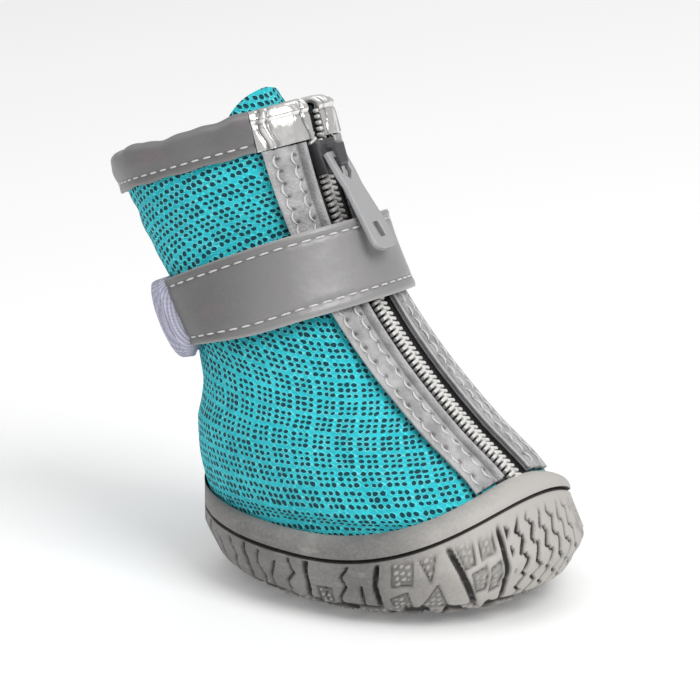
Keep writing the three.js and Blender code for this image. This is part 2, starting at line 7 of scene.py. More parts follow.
import bpy
import numpy as np
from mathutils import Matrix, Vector


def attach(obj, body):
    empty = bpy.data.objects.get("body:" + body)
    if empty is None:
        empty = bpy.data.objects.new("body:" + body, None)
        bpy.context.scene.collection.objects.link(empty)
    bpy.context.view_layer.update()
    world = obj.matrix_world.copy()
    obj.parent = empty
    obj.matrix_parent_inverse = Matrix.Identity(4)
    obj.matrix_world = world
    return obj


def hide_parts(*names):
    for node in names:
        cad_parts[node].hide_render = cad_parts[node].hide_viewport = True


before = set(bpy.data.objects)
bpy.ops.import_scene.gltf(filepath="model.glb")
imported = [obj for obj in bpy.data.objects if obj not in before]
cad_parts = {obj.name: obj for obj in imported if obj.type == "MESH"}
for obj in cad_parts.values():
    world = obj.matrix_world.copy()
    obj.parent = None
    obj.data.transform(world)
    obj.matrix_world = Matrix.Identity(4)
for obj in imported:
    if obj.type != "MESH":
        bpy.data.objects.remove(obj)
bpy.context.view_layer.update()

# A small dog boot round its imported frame. Lengths in the tables are millimetres, the toe points along +X, the
# dog's left along +Y and +Z is up; meshes are written in metres.

MM = 0.001
TURN = 2 * math.pi
LOG = logging.getLogger("dog_boot")

Array = np.ndarray
Place = Callable[[Array, Array], Array]
Socket = bpy.types.NodeSocket


class Body(Enum):
    """The two bodies that pieces ride on."""

    BOOT = "boot"
    PULL = "pull"


class Slot(Enum):
    """The record's material slots."""

    SOLE = "sole_rubber"
    INSOLE = "insole_foam"
    MESH = "air_mesh"
    FACING = "facing_leather"
    REFLECTIVE = "reflective_tape"
    SILVER = "silver_foil"
    TAPE = "zip_tape"
    COIL = "zip_coil"
    GUNMETAL = "gunmetal"
    PULL = "pull_metal"
    ELASTIC = "elastic"


# ---------------------------------------------------------------------------------------------------------
# Sums on arrays
# ---------------------------------------------------------------------------------------------------------


def mix(low: Array, high: Array, share: Array) -> Array:
    """A value between two others."""
    return low + (high - low) * share


def ramp(low: float, high: float, value: Array) -> Array:
    """Nought below low, one above high and a smooth rise between."""
    share = np.clip((np.asarray(value, float) - low) / (high - low), 0, 1)
    return share * share * (3 - 2 * share)


def bowed(value: Array, squareness: float) -> Array:
    """A signed power, which squares off an ellipse."""
    return np.sign(value) * np.abs(value) ** (2 / squareness)


def wrapped(value: Array, pitch: float) -> Array:
    """How far a value is from the nearest multiple of a pitch."""
    return np.abs((value / pitch + 0.5) % 1 - 0.5) * pitch


def hump(value: Array, middle: float, half: float) -> Array:
    """One at a middle, falling off softly to either side."""
    return np.exp(-(((value - middle) / half) ** 2))


def from_segment(x: Array, y: Array, start: Sequence[float], end: Sequence[float]) -> Array:
    """Distances from points to a straight segment."""
    run, rise = end[0] - start[0], end[1] - start[1]
    share = np.clip(((x - start[0]) * run + (y - start[1]) * rise) / (run * run + rise * rise), 0, 1)
    return np.hypot(x - start[0] - share * run, y - start[1] - share * rise)


def from_polygon(x: Array, y: Array, corners: Sequence[Sequence[float]]) -> Array:
    """Distances outside a convex polygon, negative inside it."""
    middle = np.mean(corners, axis=0)
    gap = np.full(np.shape(x), -1e9)
    for start, end in zip(corners, list(corners[1:]) + [corners[0]]):
        across = np.array([end[1] - start[1], start[0] - end[0]], float)
        across /= np.hypot(*across)
        if np.dot(middle - start, across) > 0:
            across = -across
        gap = np.maximum(gap, (x - start[0]) * across[0] + (y - start[1]) * across[1])
    return gap


def dots(x: Array, y: Array, pitch: float, radius: float) -> Array:
    """A staggered field of round dots, one on a dot and nought between."""
    row = np.floor(y / pitch + 0.5)
    shift = (row % 2) * pitch / 2
    gap = np.hypot(wrapped(x + shift, pitch), y - row * pitch)
    return 1 - ramp(radius * 0.55, radius * 1.2, gap)


# ---------------------------------------------------------------------------------------------------------
# The last
# ---------------------------------------------------------------------------------------------------------


class Last:
    """The form that every sheet of the boot is laid over, read from a table of sections."""

    HEEL_X = (-28.4, -31.0, -32.2, -32.0, -31.2, -33.0, -37.8, -42.6, -46.2, -48.6, -51.0)
    HEEL_Z = (5.3, 11.6, 17.4, 23.4, 29.6, 36.6, 44.0, 50.0, 55.6, 60.0, 65.2)
    TOE_X = (25.0, 26.6, 23.6, 14.4, 5.6, -1.6, -7.4, -11.2, -14.0, -16.0, -18.0)
    TOE_Z = (5.3, 13.4, 19.2, 26.0, 33.6, 41.4, 49.6, 57.4, 65.0, 71.6, 79.2)
    HALF = (19.2, 20.8, 20.6, 19.5, 18.0, 16.7, 15.9, 15.4, 15.0, 14.8, 14.8)
    EGG = (0.06, 0.05, 0.02, -0.02, -0.05, -0.08, -0.1, -0.12, -0.13, -0.13, -0.13)
    SQUARENESS = 2.05
    TOP = 10

    @staticmethod
    def read(column: Sequence[float], row: Array) -> Array:
        """Reads a column between its rows, on a smooth curve.

        Args:
            column: One value for each section.
            row: Where to read it, as a fraction of a row.

        Returns:
            The values there.
        """
        table = np.array(column)
        row = np.asarray(row, float)
        index = np.clip(np.floor(row).astype(int), 0, Last.TOP - 1)
        share = row - index
        start, end = table[index], table[index + 1]
        before, after = table[np.maximum(index - 1, 0)], table[np.minimum(index + 2, Last.TOP)]
        slope_start = np.where(index == 0, end - start, (end - before) / 2)
        slope_end = np.where(index + 1 == Last.TOP, end - start, (after - start) / 2)
        square, cube = share**2, share**3
        return (
            start * (2 * cube - 3 * square + 1)
            + slope_start * (cube - 2 * square + share)
            + end * (3 * square - 2 * cube)
            + slope_end * (cube - square)
        )

    @classmethod
    def point(cls, row: Array, angle: Array) -> Array:
        """Points on the bare last; the angle runs from the toe by the left side to the heel."""
        row, angle = np.broadcast_arrays(np.asarray(row, float), np.asarray(angle, float))
        heel_x, heel_z = cls.read(cls.HEEL_X, row), cls.read(cls.HEEL_Z, row)
        toe_x, toe_z = cls.read(cls.TOE_X, row), cls.read(cls.TOE_Z, row)
        along = bowed(np.cos(angle), cls.SQUARENESS)
        across = bowed(np.sin(angle), cls.SQUARENESS) * (1 + cls.read(cls.EGG, row) * np.cos(angle))
        return np.stack(
            (
                (heel_x + toe_x) / 2 + along * (toe_x - heel_x) / 2,
                cls.read(cls.HALF, row) * across,
                (heel_z + toe_z) / 2 + along * (toe_z - heel_z) / 2,
            ),
            axis=-1,
        )

    @classmethod
    def normal(cls, row: Array, angle: Array) -> Array:
        """Unit vectors out of the last."""
        step = 0.01
        row, angle = np.broadcast_arrays(np.asarray(row, float), np.asarray(angle, float))
        around = cls.point(row, angle + step) - cls.point(row, angle - step)
        up = cls.point(row + step, angle) - cls.point(row - step, angle)
        out = np.cross(around, up)
        return out / np.linalg.norm(out, axis=-1, keepdims=True)

    @classmethod
    def skin(cls, row: Array, angle: Array, stand: Array) -> Array:
        """Points that stand off the last, inwards when the distance is negative."""
        return cls.point(row, angle) + cls.normal(row, angle) * np.asarray(stand, float)[..., None]

    @classmethod
    def row_at_height(cls, angle: Array, height: Array) -> Array:
        """The row at which the last passes a height at each angle."""
        low = np.zeros(np.shape(angle))
        high = np.full(np.shape(angle), float(cls.TOP))
        for _ in range(30):
            middle = (low + high) / 2
            under = cls.point(middle, angle)[..., 2] < height
            low, high = np.where(under, middle, low), np.where(under, high, middle)
        return (low + high) / 2

    @classmethod
    def angle_at_across(cls, row: Array, across: Array) -> Array:
        """The angle near the toe at which a row is a distance to the left of the centre line."""
        row, across = np.broadcast_arrays(np.asarray(row, float), np.asarray(across, float))
        low, high = np.zeros(row.shape), np.full(row.shape, math.pi / 2)
        for _ in range(30):
            middle = (low + high) / 2
            under = cls.point(row, middle)[..., 1] < np.abs(across)
            low, high = np.where(under, middle, low), np.where(under, high, middle)
        return np.sign(across) * (low + high) / 2

    @classmethod
    def row_below(cls, row: Array, angle: Array, distance: Array) -> Array:
        """The row that lies a distance below another one, measured on the surface."""
        row = np.asarray(row, float)
        gap = cls.point(row + 0.05, angle) - cls.point(row - 0.05, angle)
        return row - distance / (np.linalg.norm(gap, axis=-1) / 0.1)


COLLAR_ROW = 9.0
WALL = 1.8
CLEARANCE = 0.3


def row_down(angle: Array, distance: Array) -> Array:
    """The row at a distance down from the collar's edge."""
    return Last.row_below(np.full(np.shape(angle), COLLAR_ROW), angle, distance)


# ---------------------------------------------------------------------------------------------------------
# Modelling
# ---------------------------------------------------------------------------------------------------------


class Bench:
    """The steps that every piece goes through."""

    @staticmethod
    def clear() -> None:
        """Leaves nothing selected."""
        bpy.ops.object.select_all(action="DESELECT")

    @staticmethod
    def take(piece: bpy.types.Object) -> None:
        """Makes one piece the selected and active one."""
        Bench.clear()
        piece.select_set(True)
        bpy.context.view_layer.objects.active = piece

    @staticmethod
    def points(piece: bpy.types.Object) -> Array:
        """A mesh's corner places in metres."""
        places = np.empty(len(piece.data.vertices) * 3)
        piece.data.vertices.foreach_get("co", places)
        return places.reshape(-1, 3)

    @staticmethod
    def put(piece: bpy.types.Object, places: Array) -> None:
        """Moves a mesh's corners."""
        piece.data.vertices.foreach_set("co", np.ascontiguousarray(places, float).ravel())
        piece.data.update()

    @staticmethod
    def sheet(name: str, columns: int, rows: int, place: Place, square_from: float = 2.0) -> bpy.types.Object:
        """Lays a fine grid over the last.

        Args:
            name: The piece's name.
            columns: Cells across.
            rows: Cells up.
            place: Gives the places in millimetres for shares across and up.
            square_from: Share up the grid from which the UV map is kept square to the columns.

        Returns:
            The sheet, with a UV map in millimetres along the cloth.
        """
        Bench.clear()
        bpy.ops.mesh.primitive_grid_add(x_subdivisions=columns, y_subdivisions=rows, size=2, calc_uvs=True)
        piece = bpy.context.object
        piece.name = piece.data.name = name
        flat = Bench.points(piece)
        across, up = (flat[:, 0] + 1) / 2, (flat[:, 1] + 1) / 2
        Bench.put(piece, place(across, up) * MM)
        Bench.flatten(piece, across, up, square_from)
        return piece

    @staticmethod
    def flatten(piece: bpy.types.Object, across: Array, up: Array, square_from: float) -> None:
        """Writes a UV map in millimetres along the cloth, from the middle column and from the foot."""
        order = np.lexsort((across, np.round(up, 6)))
        columns = len(np.unique(np.round(across, 6)))
        net = (Bench.points(piece)[order] / MM).reshape(-1, columns, 3)
        lean = np.gradient(net, axis=0)
        lean /= np.maximum(np.linalg.norm(lean, axis=2, keepdims=True), 1e-9)
        step = np.diff(net, axis=1)
        square = up[order].reshape(-1, columns)[:, :1] > square_from
        slip = np.sum(step * (lean[:, 1:] + lean[:, :-1]) / 2, axis=2) * square
        run = np.sqrt(np.maximum(0, np.sum(step * step, axis=2) - slip**2))
        middle = slice(columns // 2, columns // 2 + 1)
        rise = np.linalg.norm(np.diff(net, axis=0), axis=2)
        height = np.concatenate((np.zeros((1, columns)), np.cumsum(rise, axis=0)), axis=0)
        start = np.zeros((len(net), 1))
        u = np.concatenate((start, np.cumsum(run, axis=1)), axis=1)
        v = np.concatenate((start, np.cumsum(slip, axis=1)), axis=1)
        u -= u[:, middle]
        v = np.where(square, v - v[:, middle] + height[:, middle], height)
        flat = np.empty((len(order), 2))
        flat[order] = np.stack((u.ravel(), v.ravel()), axis=1)
        corners = np.empty(len(piece.data.loops), int)
        piece.data.loops.foreach_get("vertex_index", corners)
        piece.data.uv_layers.active.data.foreach_set("uv", flat[corners].ravel())

    @staticmethod
    def mark(piece: bpy.types.Object, name: str, values: Array) -> None:
        """Keeps a value for each corner under a name."""
        layer = piece.data.attributes.new(name, "FLOAT", "POINT")
        layer.data.foreach_set("value", np.asarray(values, float).ravel())

    @staticmethod
    def apply(piece: bpy.types.Object, kind: str, **settings: object) -> None:
        """Adds a modifier with its settings and applies it."""
        Bench.take(piece)
        modifier = piece.modifiers.new(kind.title(), kind)
        for key, value in settings.items():
            setattr(modifier, key, value)
        bpy.ops.object.modifier_apply(modifier=modifier.name)

    @staticmethod
    def edit(piece: bpy.types.Object, *steps: Callable[[], object]) -> None:
        """Runs steps in edit mode on the whole mesh."""
        Bench.take(piece)
        bpy.ops.object.mode_set(mode="EDIT")
        bpy.ops.mesh.select_all(action="SELECT")
        for step in steps:
            step()
        bpy.ops.object.mode_set(mode="OBJECT")

    @staticmethod
    def merge(piece: bpy.types.Object) -> None:
        """Closes seams and poles."""
        Bench.edit(piece, lambda: bpy.ops.mesh.remove_doubles(threshold=2e-5))

    @staticmethod
    def thicken(piece: bpy.types.Object, thick: float, inside: int = 0) -> None:
        """Gives a sheet its thickness, on its inner side.

        Args:
            piece: The sheet.
            thick: Thickness in millimetres.
            inside: Which further material the new side takes.
        """
        Bench.apply(
            piece,
            "SOLIDIFY",
            thickness=thick * MM,
            offset=-1.0,
            material_offset=inside,
            use_quality_normals=True,
        )

    @staticmethod
    def soften(piece: bpy.types.Object, width: float, segments: int = 2, sharp: float = 40) -> None:
        """Rounds the sharp edges."""
        Bench.apply(
            piece,
            "BEVEL",
            width=width * MM,
            segments=segments,
            limit_method="ANGLE",
            angle_limit=math.radians(sharp),
            harden_normals=False,
        )

    @staticmethod
    def smooth(piece: bpy.types.Object, sharp: float = 60) -> None:
        """Shades smooth except at edges sharper than an angle."""
        Bench.take(piece)
        bpy.ops.object.shade_smooth_by_angle(angle=math.radians(sharp))

    @staticmethod
    def make_band(piece: bpy.types.Object, marks: dict[str, Array], thick: float, edge: float) -> None:
        """Turns a sheet, which is the band's outer side, into a band.

        Args:
            piece: The sheet.
            marks: Named values for its corners.
            thick: Thickness in millimetres.
            edge: Rounding of its edges in millimetres.
        """
        for name, values in marks.items():
            Bench.mark(piece, name, values)
        Bench.thicken(piece, thick)
        Bench.soften(piece, edge)
        Bench.smooth(piece)

    @staticmethod
    def join(name: str, pieces: Sequence[bpy.types.Object]) -> bpy.types.Object:
        """Joins pieces into one."""
        Bench.clear()
        for piece in pieces:
            piece.select_set(True)
        bpy.context.view_layer.objects.active = pieces[0]
        if len(pieces) > 1:
            bpy.ops.object.join()
        pieces[0].name = pieces[0].data.name = name
        return pieces[0]

    @staticmethod
    def repeat(name: str, model: bpy.types.Object, line: "Line", stations: Array) -> bpy.types.Object:
        """Copies a small piece along a line and removes the one that was copied.

        Args:
            name: The name of the joined copies.
            model: The piece, lying along +X with +Z outwards.
            line: What the copies follow.
            stations: How far along the line each copy sits, in millimetres.

        Returns:
            The copies as one mesh.
        """
        base = Bench.points(model)
        faces = [tuple(face.vertices) for face in model.data.polygons]
        origin, along, side, out = line.frames(stations)
        copies = (
            origin[:, None] * MM
            + base[None, :, :1] * along[:, None]
            + base[None, :, 1:2] * side[:, None]
            + base[None, :, 2:] * out[:, None]
        )
        count = len(base)
        mesh = bpy.data.meshes.new(name)
        mesh.from_pydata(
            copies.reshape(-1, 3).tolist(),
            [],
            [tuple(i + k * count for i in face) for k in range(len(origin)) for face in faces],
        )
        bpy.data.objects.remove(model)
        piece = bpy.data.objects.new(name, mesh)
        bpy.context.scene.collection.objects.link(piece)
        Bench.smooth(piece, 70)
        return piece

    @staticmethod
    def dress(piece: bpy.types.Object, finishes: Sequence[bpy.types.Material]) -> None:
        """Gives a piece its materials."""
        for finish in finishes:
            piece.data.materials.append(finish)

    @staticmethod
    def hand_over(
        piece: bpy.types.Object,
        finishes: Sequence[bpy.types.Material],
        slot: Slot,
        body: Body = Body.BOOT,
        stands_for: Sequence[str] = (),
    ) -> bpy.types.Object:
        """Dresses a finished piece and joins it to the frame.

        Args:
            piece: The piece.
            finishes: Its materials, in the order of its material slots.
            slot: Not used.
            body: What it moves with.
            stands_for: The CAD nodes that it replaces.

        Returns:
            The piece.
        """
        Bench.dress(piece, finishes)
        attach(piece, body.value)
        if stands_for:
            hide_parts(*stands_for)
        triangles = sum(len(face.vertices) - 2 for face in piece.data.polygons)
        LOG.info("%s: %d triangles", piece.name, triangles)
        return piece


class Line:
    """A line on the boot with its outward direction, for whatever is sewn or set along it."""

    def __init__(self, places: Array, out: Array) -> None:
        """Measures the line.

        Args:
            places: Its points in millimetres.
            out: The outward direction at each point.
        """
        self.places = places
        self.out = out
        steps = np.linalg.norm(np.diff(places, axis=0), axis=1)
        self.reach = np.concatenate(([0.0], np.cumsum(steps)))
        self.length = float(self.reach[-1])

    def at(self, values: Array, stations: Array) -> Array:
        """Values between the line's points."""
        return np.stack([np.interp(stations, self.reach, values[:, k]) for k in range(3)], axis=1)

    def frames(self, stations: Array) -> tuple[Array, Array, Array, Array]:
        """Origins, and unit vectors along, sideways and outwards, at distances along the line."""
        step = 0.05
        origin = self.at(self.places, stations)
        along = self.at(self.places, stations + step) - self.at(self.places, stations - step)
        along /= np.linalg.norm(along, axis=1, keepdims=True)
        out = self.at(self.out, stations)
        out -= along * np.sum(out * along, axis=1, keepdims=True)
        out /= np.linalg.norm(out, axis=1, keepdims=True)
        return origin, along, np.cross(out, along), out

    def even(self, pitch: float, margin: float = 0.0) -> Array:
        """Even stations along the line, about a pitch apart."""
        count = max(1, round((self.length - 2 * margin) / pitch))
        return margin + (np.arange(count) + 0.5) * (self.length - 2 * margin) / count


# ---------------------------------------------------------------------------------------------------------
# Finishes
# ---------------------------------------------------------------------------------------------------------

Colour = tuple[float, float, float]


class Graph:
    """A material under construction."""

    def __init__(self, name: str) -> None:
        """Starts a material with one plain shader."""
        self.material = bpy.data.materials.new(name)
        self.material.use_nodes = True
        self.tree = self.material.node_tree
        self.tree.nodes.clear()
        output = self.tree.nodes.new("ShaderNodeOutputMaterial")
        self.shader = self.tree.nodes.new("ShaderNodeBsdfPrincipled")
        self.tree.links.new(self.shader.outputs["BSDF"], output.inputs["Surface"])

    def feed(self, socket: Socket, value: object) -> None:
        """Links or sets an input."""
        if isinstance(value, Socket):
            self.tree.links.new(value, socket)
        elif isinstance(value, tuple) and len(value) == 3 and len(socket.default_value) == 4:
            socket.default_value = (*value, 1.0)
        else:
            socket.default_value = value

    def math(self, step: str, first: object, second: object = 0.0, third: object = 0.0) -> Socket:
        """One step of arithmetic."""
        node = self.tree.nodes.new("ShaderNodeMath")
        node.operation = step
        for socket, value in zip(node.inputs, (first, second, third)):
            self.feed(socket, value)
        return node.outputs[0]

    def between(
        self, value: object, low: float, high: float, start: float = 0.0, end: float = 1.0
    ) -> Socket:
        """A smooth change from start to end as a value goes from low to high."""
        node = self.tree.nodes.new("ShaderNodeMapRange")
        node.interpolation_type = "SMOOTHSTEP"
        for socket, given in zip(node.inputs, (value, low, high, start, end)):
            self.feed(socket, given)
        return node.outputs[0]

    def blend(self, share: object, first: object, second: object) -> Socket:
        """A colour between two others."""
        node = self.tree.nodes.new("ShaderNodeMix")
        node.data_type = "RGBA"
        self.feed(node.inputs[0], share)
        self.feed(node.inputs[6], first)
        self.feed(node.inputs[7], second)
        return node.outputs[2]

    def place(self, scale: Sequence[float] = (1, 1, 1)) -> Socket:
        """The place on the boot in millimetres, stretched by a scale."""
        source = self.tree.nodes.new("ShaderNodeTexCoord")
        node = self.tree.nodes.new("ShaderNodeMapping")
        self.feed(node.inputs["Vector"], source.outputs["Object"])
        node.inputs["Scale"].default_value = [1000 * value for value in scale]
        return node.outputs[0]

    def cloth(self) -> tuple[Socket, Socket]:
        """The millimetres across and up the cloth."""
        source = self.tree.nodes.new("ShaderNodeUVMap")
        source.uv_map = "UVMap"
        node = self.tree.nodes.new("ShaderNodeSeparateXYZ")
        self.feed(node.inputs[0], source.outputs[0])
        return node.outputs[0], node.outputs[1]

    def mark(self, name: str) -> Socket:
        """A value kept at the mesh's corners."""
        node = self.tree.nodes.new("ShaderNodeAttribute")
        node.attribute_name = name
        return node.outputs["Fac"]

    def noise(self, pitch: float, detail: float = 3.0, scale: Sequence[float] = (1, 1, 1)) -> Socket:
        """Soft noise whose grain is about a pitch in millimetres."""
        node = self.tree.nodes.new("ShaderNodeTexNoise")
        self.feed(node.inputs["Vector"], self.place(scale))
        node.inputs["Scale"].default_value = 1 / pitch
        node.inputs["Detail"].default_value = detail
        return node.outputs[0]

    def cells(self, pitch: float, scale: Sequence[float] = (1, 1, 1)) -> Socket:
        """Distance to the nearest of scattered points about a pitch in millimetres apart."""
        node = self.tree.nodes.new("ShaderNodeTexVoronoi")
        self.feed(node.inputs["Vector"], self.place(scale))
        node.inputs["Scale"].default_value = 1 / pitch
        return node.outputs["Distance"]

    def bump(self, height: object, depth: float, under: object = None) -> Socket:
        """A bump whose full height is a depth in millimetres."""
        node = self.tree.nodes.new("ShaderNodeBump")
        node.inputs["Strength"].default_value = 1.0
        node.inputs["Distance"].default_value = depth * MM
        self.feed(node.inputs["Height"], height)
        if under is not None:
            self.feed(node.inputs["Normal"], under)
        return node.outputs[0]

    def dress(
        self, colour: object, roughness: object, normal: object, **constants: float
    ) -> bpy.types.Material:
        """Feeds the shader and returns the material.

        Args:
            colour: Base colour.
            roughness: Roughness.
            normal: Bumped normal.
            constants: Plain values, by the shader's socket name with underscores.

        Returns:
            The material.
        """
        self.feed(self.shader.inputs["Base Color"], colour)
        self.feed(self.shader.inputs["Roughness"], roughness)
        self.feed(self.shader.inputs["Normal"], normal)
        for name, value in constants.items():
            self.shader.inputs[name.replace("_", " ")].default_value = value
        return self.material


@dataclass(frozen=True)
class AirMesh:
    """Knitted mesh with small round holes in clusters of three by three, with painted highlights on the rims
    round the holes and painted shade in the openings.
    """

    name: str = "knitted_air_mesh"
    thread: Colour = (0.014, 0.49, 0.59)
    # crest and glint are painted highlight colours for the rims; hole is the painted shade colour of the
    # openings.
    crest_highlight: Colour = (0.06, 0.83, 0.92)
    glint: Colour = (0.34, 0.92, 0.96)
    hole: Colour = (0.001, 0.06, 0.085)
    cluster: float = 3.65
    pitch: float = 1.1
    radius: float = 0.35
    skew: float = 0.32

    def material(self) -> bpy.types.Material:
        """Builds the material."""
        graph = Graph(self.name)
        across, up = graph.cloth()
        stir = graph.math("MULTIPLY_ADD", graph.noise(1.7, 3), 0.7, -0.35)
        sway = graph.math("MULTIPLY_ADD", graph.noise(1.1, 2, (1, 1, 1.3)), 0.5, -0.25)
        across = graph.math("ADD", graph.math("MULTIPLY_ADD", up, self.skew, across), stir)
        up = graph.math("ADD", graph.math("MULTIPLY_ADD", across, -0.12, up), sway)
        gaps = []
        for value in (across, up):
            local = graph.math("FLOORED_MODULO", value, self.cluster)
            inside = graph.math("MINIMUM", local, 3 * self.pitch - 0.001)
            cell = graph.math("FRACT", graph.math("DIVIDE", inside, self.pitch))
            gaps.append(graph.math("MULTIPLY", graph.math("SUBTRACT", cell, 0.5), self.pitch))
        wide = graph.math("MULTIPLY_ADD", gaps[1], -self.skew, graph.math("MULTIPLY", gaps[0], 0.96))
        high = graph.math("MULTIPLY_ADD", gaps[0], 0.12, gaps[1])
        square = graph.math("ADD", graph.math("POWER", wide, 2.0), graph.math("POWER", high, 2.0))
        gap = graph.math("SQRT", square)
        size = graph.math("MULTIPLY_ADD", graph.noise(1.7, 1), 0.3, self.radius - 0.15)
        edge = graph.math("SUBTRACT", gap, size)
        open_ = graph.between(edge, 0.09, -0.07)
        rim = graph.between(graph.math("ABSOLUTE", graph.math("SUBTRACT", edge, 0.13)), 0.14, 0.0)
        yarn = graph.math("SINE", graph.math("MULTIPLY", graph.math("ADD", across, up), 17.0))
        yarn = graph.math("MULTIPLY_ADD", yarn, 0.5, 0.5)
        lift = graph.math("MULTIPLY_ADD", rim, 0.55, graph.math("MULTIPLY", yarn, 0.34))
        # Paler on the rims and yarn lines, a painted highlight, mixed with random tone.
        shade = graph.math("MULTIPLY_ADD", graph.noise(4.5, 4), 0.8, graph.math("SUBTRACT", lift, 0.3))
        colour = graph.blend(graph.between(shade, 0.05, 0.7), self.thread, self.crest_highlight)
        # A painted highlight on the rims, in patches.
        patchy = graph.between(graph.noise(1.3, 2), 0.42, 0.62)
        glint = graph.math("MULTIPLY", graph.between(rim, 0.55, 1.0), patchy)
        colour = graph.blend(graph.math("MULTIPLY", glint, 0.55), colour, self.glint)
        # Painted shade in the openings.
        colour = graph.blend(open_, colour, self.hole)
        height = graph.math("SUBTRACT", graph.math("MULTIPLY", lift, 0.45), open_)
        fine = graph.bump(graph.noise(0.22, 2), 0.05)
        rough = graph.math("MULTIPLY_ADD", graph.noise(1.2, 2), 0.2, 0.62)
        return graph.dress(
            colour, rough, graph.bump(height, 0.42, fine), Sheen_Weight=0.06, Specular_IOR_Level=0.25
        )


@dataclass(frozen=True)
class MouldedRubber:
    """Matt moulded rubber, with painted shade down in its grooves, a painted highlight towards the toe and
    paler beads where they stand proud.
    """

    name: str = "moulded_sole_rubber"
    body: Colour = (0.16, 0.154, 0.149)
    pale: Colour = (0.47, 0.45, 0.425)
    # The colour of the painted shade down in the cuts.
    groove: Colour = (0.03, 0.028, 0.027)

    def material(self) -> bpy.types.Material:
        """Builds the material."""
        graph = Graph(self.name)
        parts = graph.tree.nodes.new("ShaderNodeSeparateXYZ")
        graph.feed(parts.inputs[0], graph.place())
        # Paler towards the toe: a painted highlight where the key lamp falls, on top of random tone.
        toe = graph.between(parts.outputs[0], 12.0, 31.0)
        cloud = graph.noise(7.0, 4)
        grain = graph.noise(0.5, 3)
        toe_painted_light = graph.math("MULTIPLY", toe, 1.1)
        tone_and_toe_light = graph.math("MULTIPLY_ADD", graph.math("SUBTRACT", cloud, 0.5), 0.8, toe_painted_light)
        tone_and_toe_light = graph.math("ADD", tone_and_toe_light, graph.math("MULTIPLY_ADD", grain, 0.42, -0.06))
        colour = graph.blend(tone_and_toe_light, self.body, self.pale)
        proud = graph.between(graph.mark("proud"), 0.02, 0.3)
        colour = graph.blend(graph.math("MULTIPLY", proud, 0.75), colour, self.pale)
        # Painted shade down in the grooves and the rand's groove.
        deep = graph.between(graph.mark("depth"), 0.05, 0.6)
        colour = graph.blend(graph.math("MULTIPLY", deep, 0.92), colour, self.groove)
        scuff = graph.between(graph.noise(1.6, 5, (0.35, 0.35, 1.4)), 0.57, 0.7)
        colour = graph.blend(graph.math("MULTIPLY", scuff, 0.24), colour, self.pale)
        rough = graph.math("MULTIPLY_ADD", cloud, 0.2, graph.math("MULTIPLY_ADD", scuff, 0.12, 0.5))
        fine = graph.bump(graph.noise(0.3, 3), 0.035)
        waves = graph.bump(graph.noise(2.4, 3), 0.12, fine)
        return graph.dress(colour, rough, waves, Specular_IOR_Level=0.42)


@dataclass(frozen=True)
class ReflectiveFabric:
    """Grey bead-coated fabric, satin with a faint warm and cool bloom, with painted highlights along its marked
    edges and towards the toe, and painted shade in its seam dents.
    """

    name: str
    grey: Colour
    edge: Colour
    painted_highlight: float = 0.0

    def material(self) -> bpy.types.Material:
        """Builds the material."""
        graph = Graph(self.name)
        bloom = graph.noise(9.0, 2)
        colour = graph.blend(graph.between(bloom, 0.35, 0.65), self.grey, tuple(1.16 * c for c in self.grey))
        rose = tuple(c * f for c, f in zip(self.grey, (1.28, 1.04, 1.14)))
        colour = graph.blend(graph.between(graph.noise(5.0, 2, (1, 1.7, 1)), 0.56, 0.74), colour, rose)
        # A painted highlight that grows towards +X, the toe.
        parts = graph.tree.nodes.new("ShaderNodeSeparateXYZ")
        graph.feed(parts.inputs[0], graph.place())
        lit = graph.math("MULTIPLY", graph.between(parts.outputs[0], -22.0, -5.0), self.painted_highlight)
        colour = graph.blend(lit, colour, self.edge)
        beads = graph.noise(0.16, 1)
        colour = graph.blend(graph.math("MULTIPLY", beads, 0.3), colour, self.edge)
        # A painted highlight along the edges that the piece marks.
        colour = graph.blend(graph.mark("edge"), colour, self.edge)
        # Painted shade in the seam dents.
        dark = tuple(0.3 * c for c in self.grey)
        colour = graph.blend(graph.math("MULTIPLY", graph.mark("dent"), 0.8), colour, dark)
        rough = graph.math("MULTIPLY_ADD", bloom, 0.18, 0.33)
        fine = graph.bump(beads, 0.02)
        return graph.dress(
            colour, rough, graph.bump(graph.noise(3.2, 3), 0.14, fine), Metallic=0.25, Sheen_Weight=0.12
        )


@dataclass(frozen=True)
class FacingLeather:
    """Soft light grey coated leather with a fine grain, with a painted highlight on its rolled edges and
    painted shade in its channel and needle holes.
    """

    name: str = "facing_leather"
    grey: Colour = (0.27, 0.268, 0.272)
    pale: Colour = (0.46, 0.455, 0.46)

    def material(self) -> bpy.types.Material:
        """Builds the material."""
        graph = Graph(self.name)
        cloud = graph.noise(3.0, 4)
        pebble = graph.cells(0.42)
        colour = graph.blend(graph.between(cloud, 0.3, 0.7), self.grey, self.pale)
        # A painted highlight on the rolled edges.
        colour = graph.blend(graph.math("MULTIPLY", graph.mark("edge"), 0.7), colour, self.pale)
        # Painted shade in the channel and the needle holes.
        dark = tuple(0.22 * c for c in self.grey)
        colour = graph.blend(graph.math("MULTIPLY", graph.mark("dent"), 0.85), colour, dark)
        height = graph.math("ADD", pebble, graph.math("MULTIPLY", cloud, 0.6))
        rough = graph.math("MULTIPLY_ADD", pebble, 0.25, 0.42)
        return graph.dress(colour, rough, graph.bump(height, 0.11))


